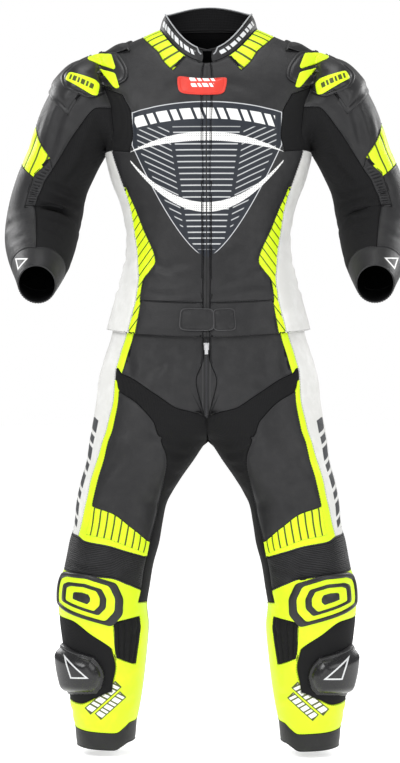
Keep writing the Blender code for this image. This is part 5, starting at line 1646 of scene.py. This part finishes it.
def make_pucks():
    cells = surface_of("puck", (14, 14)).block("0", "4", "edge_high", "edge_low")
    for word, side in (("left", 1), ("right", -1)):
        obj = panel(
            f"knee_slider_{word}_puck", "puck", cells, (14, 14), 0.0010, [made["puck"], made["puck"]], (side,),
            shape=puck_profile, lift=PUCK_SEAT, puff=0.0, rings=(),
        )
        belongs(obj, f"knee_slider_{word}")


# --------------------------------------------------------------------- inserts seen and laid from the front
def cloth_in_front(names):
    """What rays from the front meet: the meshes of some pieces as one tree."""
    corners, faces = [], []
    for name in names:
        mesh = bpy.data.objects[name].data
        first = len(corners)
        corners += [v.co.copy() for v in mesh.vertices]
        faces += [[first + k for k in p.vertices] for p in mesh.polygons]
    return BVHTree.FromPolygons(corners, faces)


def insert(name, tree, corners, radius, profile, finish, side):
    """A moulded or cut piece: its outline is drawn in the plane seen from the front and laid on the cloth."""
    outline = rounded([(x * side, z) for x, z in corners], radius, 1.0)
    middle = outline.mean(0)
    maker = bmesh.new()
    rings, up = [], Vector((0, -1, 0))
    for share, height in profile:
        ring = []
        for x, z in middle + (outline - middle) * share:
            place, normal, _, _ = tree.ray_cast(Vector((x, -1.0, z)), Vector((0, 1, 0)))
            if place is None:
                place, normal, _, _ = tree.find_nearest(Vector((x, -0.02, z)))
            normal = (normal if normal.y < 0 else -normal) * 0.5 + up * 0.5
            ring.append(maker.verts.new(place + normal.normalized() * height))
        rings.append(ring)
    count = len(outline)
    for low, high in zip(rings, rings[1:]):
        for k in range(count):
            maker.faces.new((low[k], low[(k + 1) % count], high[(k + 1) % count], high[k]))
    cap = maker.verts.new(sum((v.co for v in rings[-1]), Vector()) / count)
    for k in range(count):
        maker.faces.new((rings[-1][k], rings[-1][(k + 1) % count], cap))
    maker.normal_update()
    if sum(f.normal.y * f.calc_area() for f in maker.faces) > 0:
        bmesh.ops.reverse_faces(maker, faces=maker.faces[:])
    bmesh.ops.smooth_vert(maker, verts=[v for ring in rings[1:] for v in ring], factor=0.35, use_axis_y=True)
    obj = finish_mesh(name, maker, [made[finish]])
    thicken(obj, 0.0012, lining=False)
    belongs(obj, None)
    return obj


CUP_PLATE = [(0.166, -0.031), (0.146, -0.063), (0.143, -0.086), (0.212, -0.121), (0.262, -0.100), (0.270, -0.075), (0.226, -0.036), (0.205, -0.024)]
CUP_INSERTS = {
    "high": [(0.178, -0.032), (0.208, -0.029), (0.223, -0.038), (0.220, -0.044), (0.170, -0.066), (0.168, -0.061)],
    "middle": [(0.168, -0.073), (0.200, -0.061), (0.168, -0.102), (0.159, -0.101)],
    "low": [(0.196, -0.093), (0.204, -0.085), (0.252, -0.070), (0.260, -0.084), (0.208, -0.115), (0.199, -0.115)],
}


def make_inserts():
    for word, side in (("left", 1), ("right", -1)):
        under = [f"{name}_{word}{end}" for name, end in (("jacket_front", "_cloth"), ("sleeve_outer", "_cloth"), ("shoulder_cup", "_shell"))]
        tree = cloth_in_front(under)
        rim = [(1, 0.0002), (1, 0.0030), (0.975, 0.0038), (0.93, 0.0038), (0.905, 0.0022), (0.885, 0.0036), (0.8, 0.0038), (0.65, 0.0038), (0.5, 0.0038), (0.35, 0.0038), (0.2, 0.0038)]
        plate = insert(f"cup_plate_{word}", tree, CUP_PLATE, 0.010, rim, "cup", side)
        over = cloth_in_front(under + [plate.name])
        soft_edge = [(1, 0.0001), (0.985, 0.0016), (0.93, 0.0024), (0.8, 0.0027), (0.6, 0.0027), (0.4, 0.0027), (0.2, 0.0027)]
        for part, corners in CUP_INSERTS.items():
            insert(f"cup_insert_{part}_{word}", over, corners, 0.004, soft_edge, "cup_low" if part == "low" else "neon", side)


# --------------------------------------------------------------------------------- tapes behind the seams
def binding(name, line, radius, finish, closed=True):
    """A round tape along a line of points, its two ends capped where it isn't closed."""
    line = np.asarray(line)
    maker, rings = bmesh.new(), []
    last = len(line) - 1
    for k, here in enumerate(line):
        before, after = line[k - 1 if closed or k else 0], line[(k + 1) % len(line) if closed or k < last else last]
        along = Vector(after - before).normalized()
        aside = along.orthogonal().normalized() if not rings else (aside - along * aside.dot(along)).normalized()
        other = along.cross(aside)
        turns = [math.tau * t / 8 for t in range(8)]
        rings.append([maker.verts.new(Vector(here) + (aside * math.cos(t) + other * math.sin(t)) * radius) for t in turns])
    runs = list(zip(rings, rings[1:] + rings[:1])) if closed else list(zip(rings, rings[1:]))
    for low, high in runs:
        for t in range(8):
            maker.faces.new((low[t], low[(t + 1) % 8], high[(t + 1) % 8], high[t]))
    if not closed:
        maker.faces.new(rings[0][::-1])
        maker.faces.new(rings[-1])
    bmesh.ops.recalc_face_normals(maker, faces=maker.faces[:])
    obj = finish_mesh(name, maker, [made[finish]])
    select_only(obj)
    bpy.ops.object.shade_smooth()
    belongs(obj, None)
    return obj


def make_bindings():
    body = surface_of("body", (8, 8))
    seam = armhole_line(body)
    middle = seam.mean(0)
    inside = seam + unit(middle - seam) * 0.0022 - np.array([0.0016, 0, 0])
    for word, side in (("left", 1), ("right", -1)):
        binding(f"armhole_tape_{word}", inside * (side, 1, 1), 0.0016, "tape")
    neck = collar_points(np.linspace(6, 354, 90), np.zeros(90))
    core = neck.mean(0)
    binding("neck_tape", neck + unit(core - neck) * (1, 1, 0) * 0.0020, 0.0018, "tape", closed=False)
    edge = np.array([collar_points(np.array([d]), np.array([h]))[0] for d, h in zip(np.linspace(7.6, 352.4, 120), np.clip(np.sin(np.linspace(0, math.pi, 120)) * 26, 0.55, 1.0))])
    binding("collar_piping", edge, 0.0013, "piping", closed=False)


# --------------------------------------------------------------------------------------------- thread
def stitches(name, group, finish):
    """Short rounded stitches along every line of the group, as one mesh."""
    corners, faces = [], []
    lift = 0.00035
    for points, normals, sewn in edge_lines:
        if sewn != group:
            continue
        closed = np.vstack([points, points[:1]])
        ups = np.vstack([normals, normals[:1]])
        run = np.concatenate([[0], np.cumsum(np.linalg.norm(np.diff(closed, axis=0), axis=1))])
        starts = np.arange(0, run[-1] - STITCH_LONG, STITCH_PITCH)
        for begin in starts:
            ends = [np.array([np.interp(s, run, closed[:, k]) for k in range(3)]) for s in (begin, begin + STITCH_LONG)]
            up = np.array([np.interp(begin, run, ups[:, k]) for k in range(3)])
            along = ends[1] - ends[0]
            if np.linalg.norm(along) < STITCH_LONG * 0.6:
                continue
            along = along / np.linalg.norm(along)
            up = up / max(np.linalg.norm(up), 1e-9)
            aside = np.cross(up, along)
            first = len(corners)
            base = ends[0] + up * lift
            for reach, wide in ((0, 0), (0.22, 1), (0.78, 1), (1, 0)):
                centre = base + along * STITCH_LONG * reach
                if wide:
                    half = STITCH_WIDE / 2
                    corners += [centre + aside * half, centre + up * half, centre - aside * half, centre - up * half]
                else:
                    corners.append(centre - up * 0.0002)
            for k in range(4):
                n = (k + 1) % 4
                faces.append((first, first + 1 + n, first + 1 + k))
                faces.append((first + 1 + k, first + 1 + n, first + 5 + n, first + 5 + k))
                faces.append((first + 5 + k, first + 5 + n, first + 9))
    mesh = bpy.data.meshes.new(name)
    mesh.from_pydata([tuple(c) for c in corners], [], faces)
    mesh.materials.append(made[finish])
    obj = bpy.data.objects.new(name, mesh)
    bpy.context.scene.collection.objects.link(obj)
    maker = bmesh.new()
    maker.from_mesh(mesh)
    bmesh.ops.recalc_face_normals(maker, faces=maker.faces[:])
    maker.to_mesh(mesh)
    maker.free()
    select_only(obj)
    bpy.ops.object.shade_smooth()
    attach(obj, SUIT)
    return obj


# ------------------------------------------------------------------------------------------- the zips
TOOTH = (0.0026, 0.0016, 0.0012)
TOOTH_PITCH = 0.0022
FLY_TOP, FLY_END = 0.560, 0.702


def make_fly_teeth():
    """One tooth is modelled, then copied down both edges of the tape."""
    bpy.ops.object.select_all(action="DESELECT")
    bpy.ops.mesh.primitive_cube_add(size=1.0, location=(0, 0, 0))
    tooth = bpy.context.object
    bpy.ops.object.mode_set(mode="EDIT")
    bpy.ops.mesh.select_all(action="SELECT")
    bpy.ops.transform.resize(value=TOOTH)
    bpy.ops.mesh.bevel(offset=0.0003, segments=2, affect="EDGES")
    bpy.ops.object.mode_set(mode="OBJECT")
    tooth.data.materials.append(made["dark_metal"])
    copies = []
    for row in range(int((FLY_END - FLY_TOP) / TOOTH_PITCH)):
        level = FLY_TOP + row * TOOTH_PITCH
        reach = through(LEG_HOOPS, np.array([level]))
        y = float(reach.y_mid[0] - reach.front[0])
        x = 0.0009 if row % 2 else -0.0009
        copy = bpy.data.objects.new("tooth", tooth.data.copy())
        copy.data.transform(Matrix.Translation((x, y - 0.0006, -level)))
        bpy.context.scene.collection.objects.link(copy)
        copies.append(copy)
    bpy.data.objects.remove(tooth)
    bpy.ops.object.select_all(action="DESELECT")
    for copy in copies:
        copy.select_set(True)
    bpy.context.view_layer.objects.active = copies[0]
    bpy.ops.object.join()
    teeth = bpy.context.object
    teeth.name = "fly_zip_teeth"
    bpy.ops.object.shade_smooth_by_angle(angle=math.radians(40))
    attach(teeth, SUIT)


def make_metal():
    for name in ("fly_slider", "fly_pull"):
        node = frame["nodes"][name]
        for slot in node.material_slots:
            slot.material = made["metal"]


# ------------------------------------------------------------------------------------ floor and light
def make_floor():
    bpy.ops.object.select_all(action="DESELECT")
    bpy.ops.mesh.primitive_plane_add(size=60, location=(0, 0, FLOOR))
    floor = bpy.context.object
    floor.name = "floor"
    floor.data.transform(floor.matrix_world)
    floor.matrix_world = Matrix()
    paper = Finish("pale_floor", (0.93, 0.93, 0.93), 0.9, Emission_Color=(1, 1, 1, 1), Emission_Strength=0.62)
    at, *_ = paper.where()
    paper.set("Base Color", paper.mix(paper.noise(at, 0.6), (0.95, 0.95, 0.95), (0.90, 0.90, 0.90)))
    floor.data.materials.append(paper.material)


FLOOR = -1.315
AZIMUTH = math.radians(2.0)
DISTANCE = 4.2
TARGET = (-0.0157, -0.635)  # how far aside, and the height, of the middle of the view
VIEW_TALL = math.radians(19.07)


def look_at(obj, place, target):
    obj.matrix_world = Matrix.Translation(place) @ (Vector(target) - Vector(place)).to_track_quat("-Z", "Y").to_matrix().to_4x4()


def make_camera():
    right = Vector((math.cos(AZIMUTH), math.sin(AZIMUTH), 0))
    forward = Vector((-math.sin(AZIMUTH), math.cos(AZIMUTH), 0))
    target = right * TARGET[0] + Vector((0, 0, TARGET[1]))
    data = bpy.data.cameras.new("camera")
    data.sensor_fit = "VERTICAL"
    data.angle = VIEW_TALL
    camera = bpy.data.objects.new("camera", data)
    bpy.context.scene.collection.objects.link(camera)
    look_at(camera, target - forward * DISTANCE, target)
    bpy.context.scene.camera = camera


def make_lights():
    for name, place, target, size, power in (
        ("key", (-1.9, -2.6, 1.5), (0, 0, -0.5), 1.6, 62),
        ("fill", (2.4, -2.2, 0.6), (0, 0, -0.7), 2.0, 34),
        ("top", (0, -0.4, 2.4), (0, 0, -0.4), 2.0, 34),
        ("rim_left", (-2.2, 1.8, 0.8), (0, 0, -0.6), 1.2, 30),
        ("rim_right", (2.2, 2.0, 0.6), (0, 0, -0.6), 1.2, 30),
        ("low", (0, -3.0, -0.9), (0, 0, -0.9), 1.6, 10),
    ):
        data = bpy.data.lights.new(name, "AREA")
        data.shape, data.size, data.energy = "DISK", size, power
        lamp = bpy.data.objects.new(name, data)
        bpy.context.scene.collection.objects.link(lamp)
        look_at(lamp, place, target)


def make_world():
    world = bpy.data.worlds.new("studio")
    world.use_nodes = True
    tree = world.node_tree
    seen = tree.nodes["Background"]
    seen.inputs["Strength"].default_value = 1.0
    seen.inputs["Color"].default_value = (1, 1, 1, 1)
    lit = tree.nodes.new("ShaderNodeBackground")
    lit.inputs["Color"].default_value = (1, 1, 1, 1)
    lit.inputs["Strength"].default_value = 0.42
    rays, either = tree.nodes.new("ShaderNodeLightPath"), tree.nodes.new("ShaderNodeMixShader")
    tree.links.new(rays.outputs["Is Camera Ray"], either.inputs[0])
    tree.links.new(lit.outputs[0], either.inputs[1])
    tree.links.new(seen.outputs[0], either.inputs[2])
    tree.links.new(either.outputs[0], tree.nodes["World Output"].inputs["Surface"])
    bpy.context.scene.world = world
    bpy.context.scene.view_settings.view_transform = "Standard"


make_jacket()
make_sleeves()
make_trousers()
make_patches()
make_cups()
make_pucks()
make_inserts()
make_bindings()
make_fly_teeth()
make_metal()
stitches("leather_stitches", "dark", "thread")
stitches("pale_stitches", "pale", "pale_thread")
make_floor()
make_camera()
make_lights()
make_world()
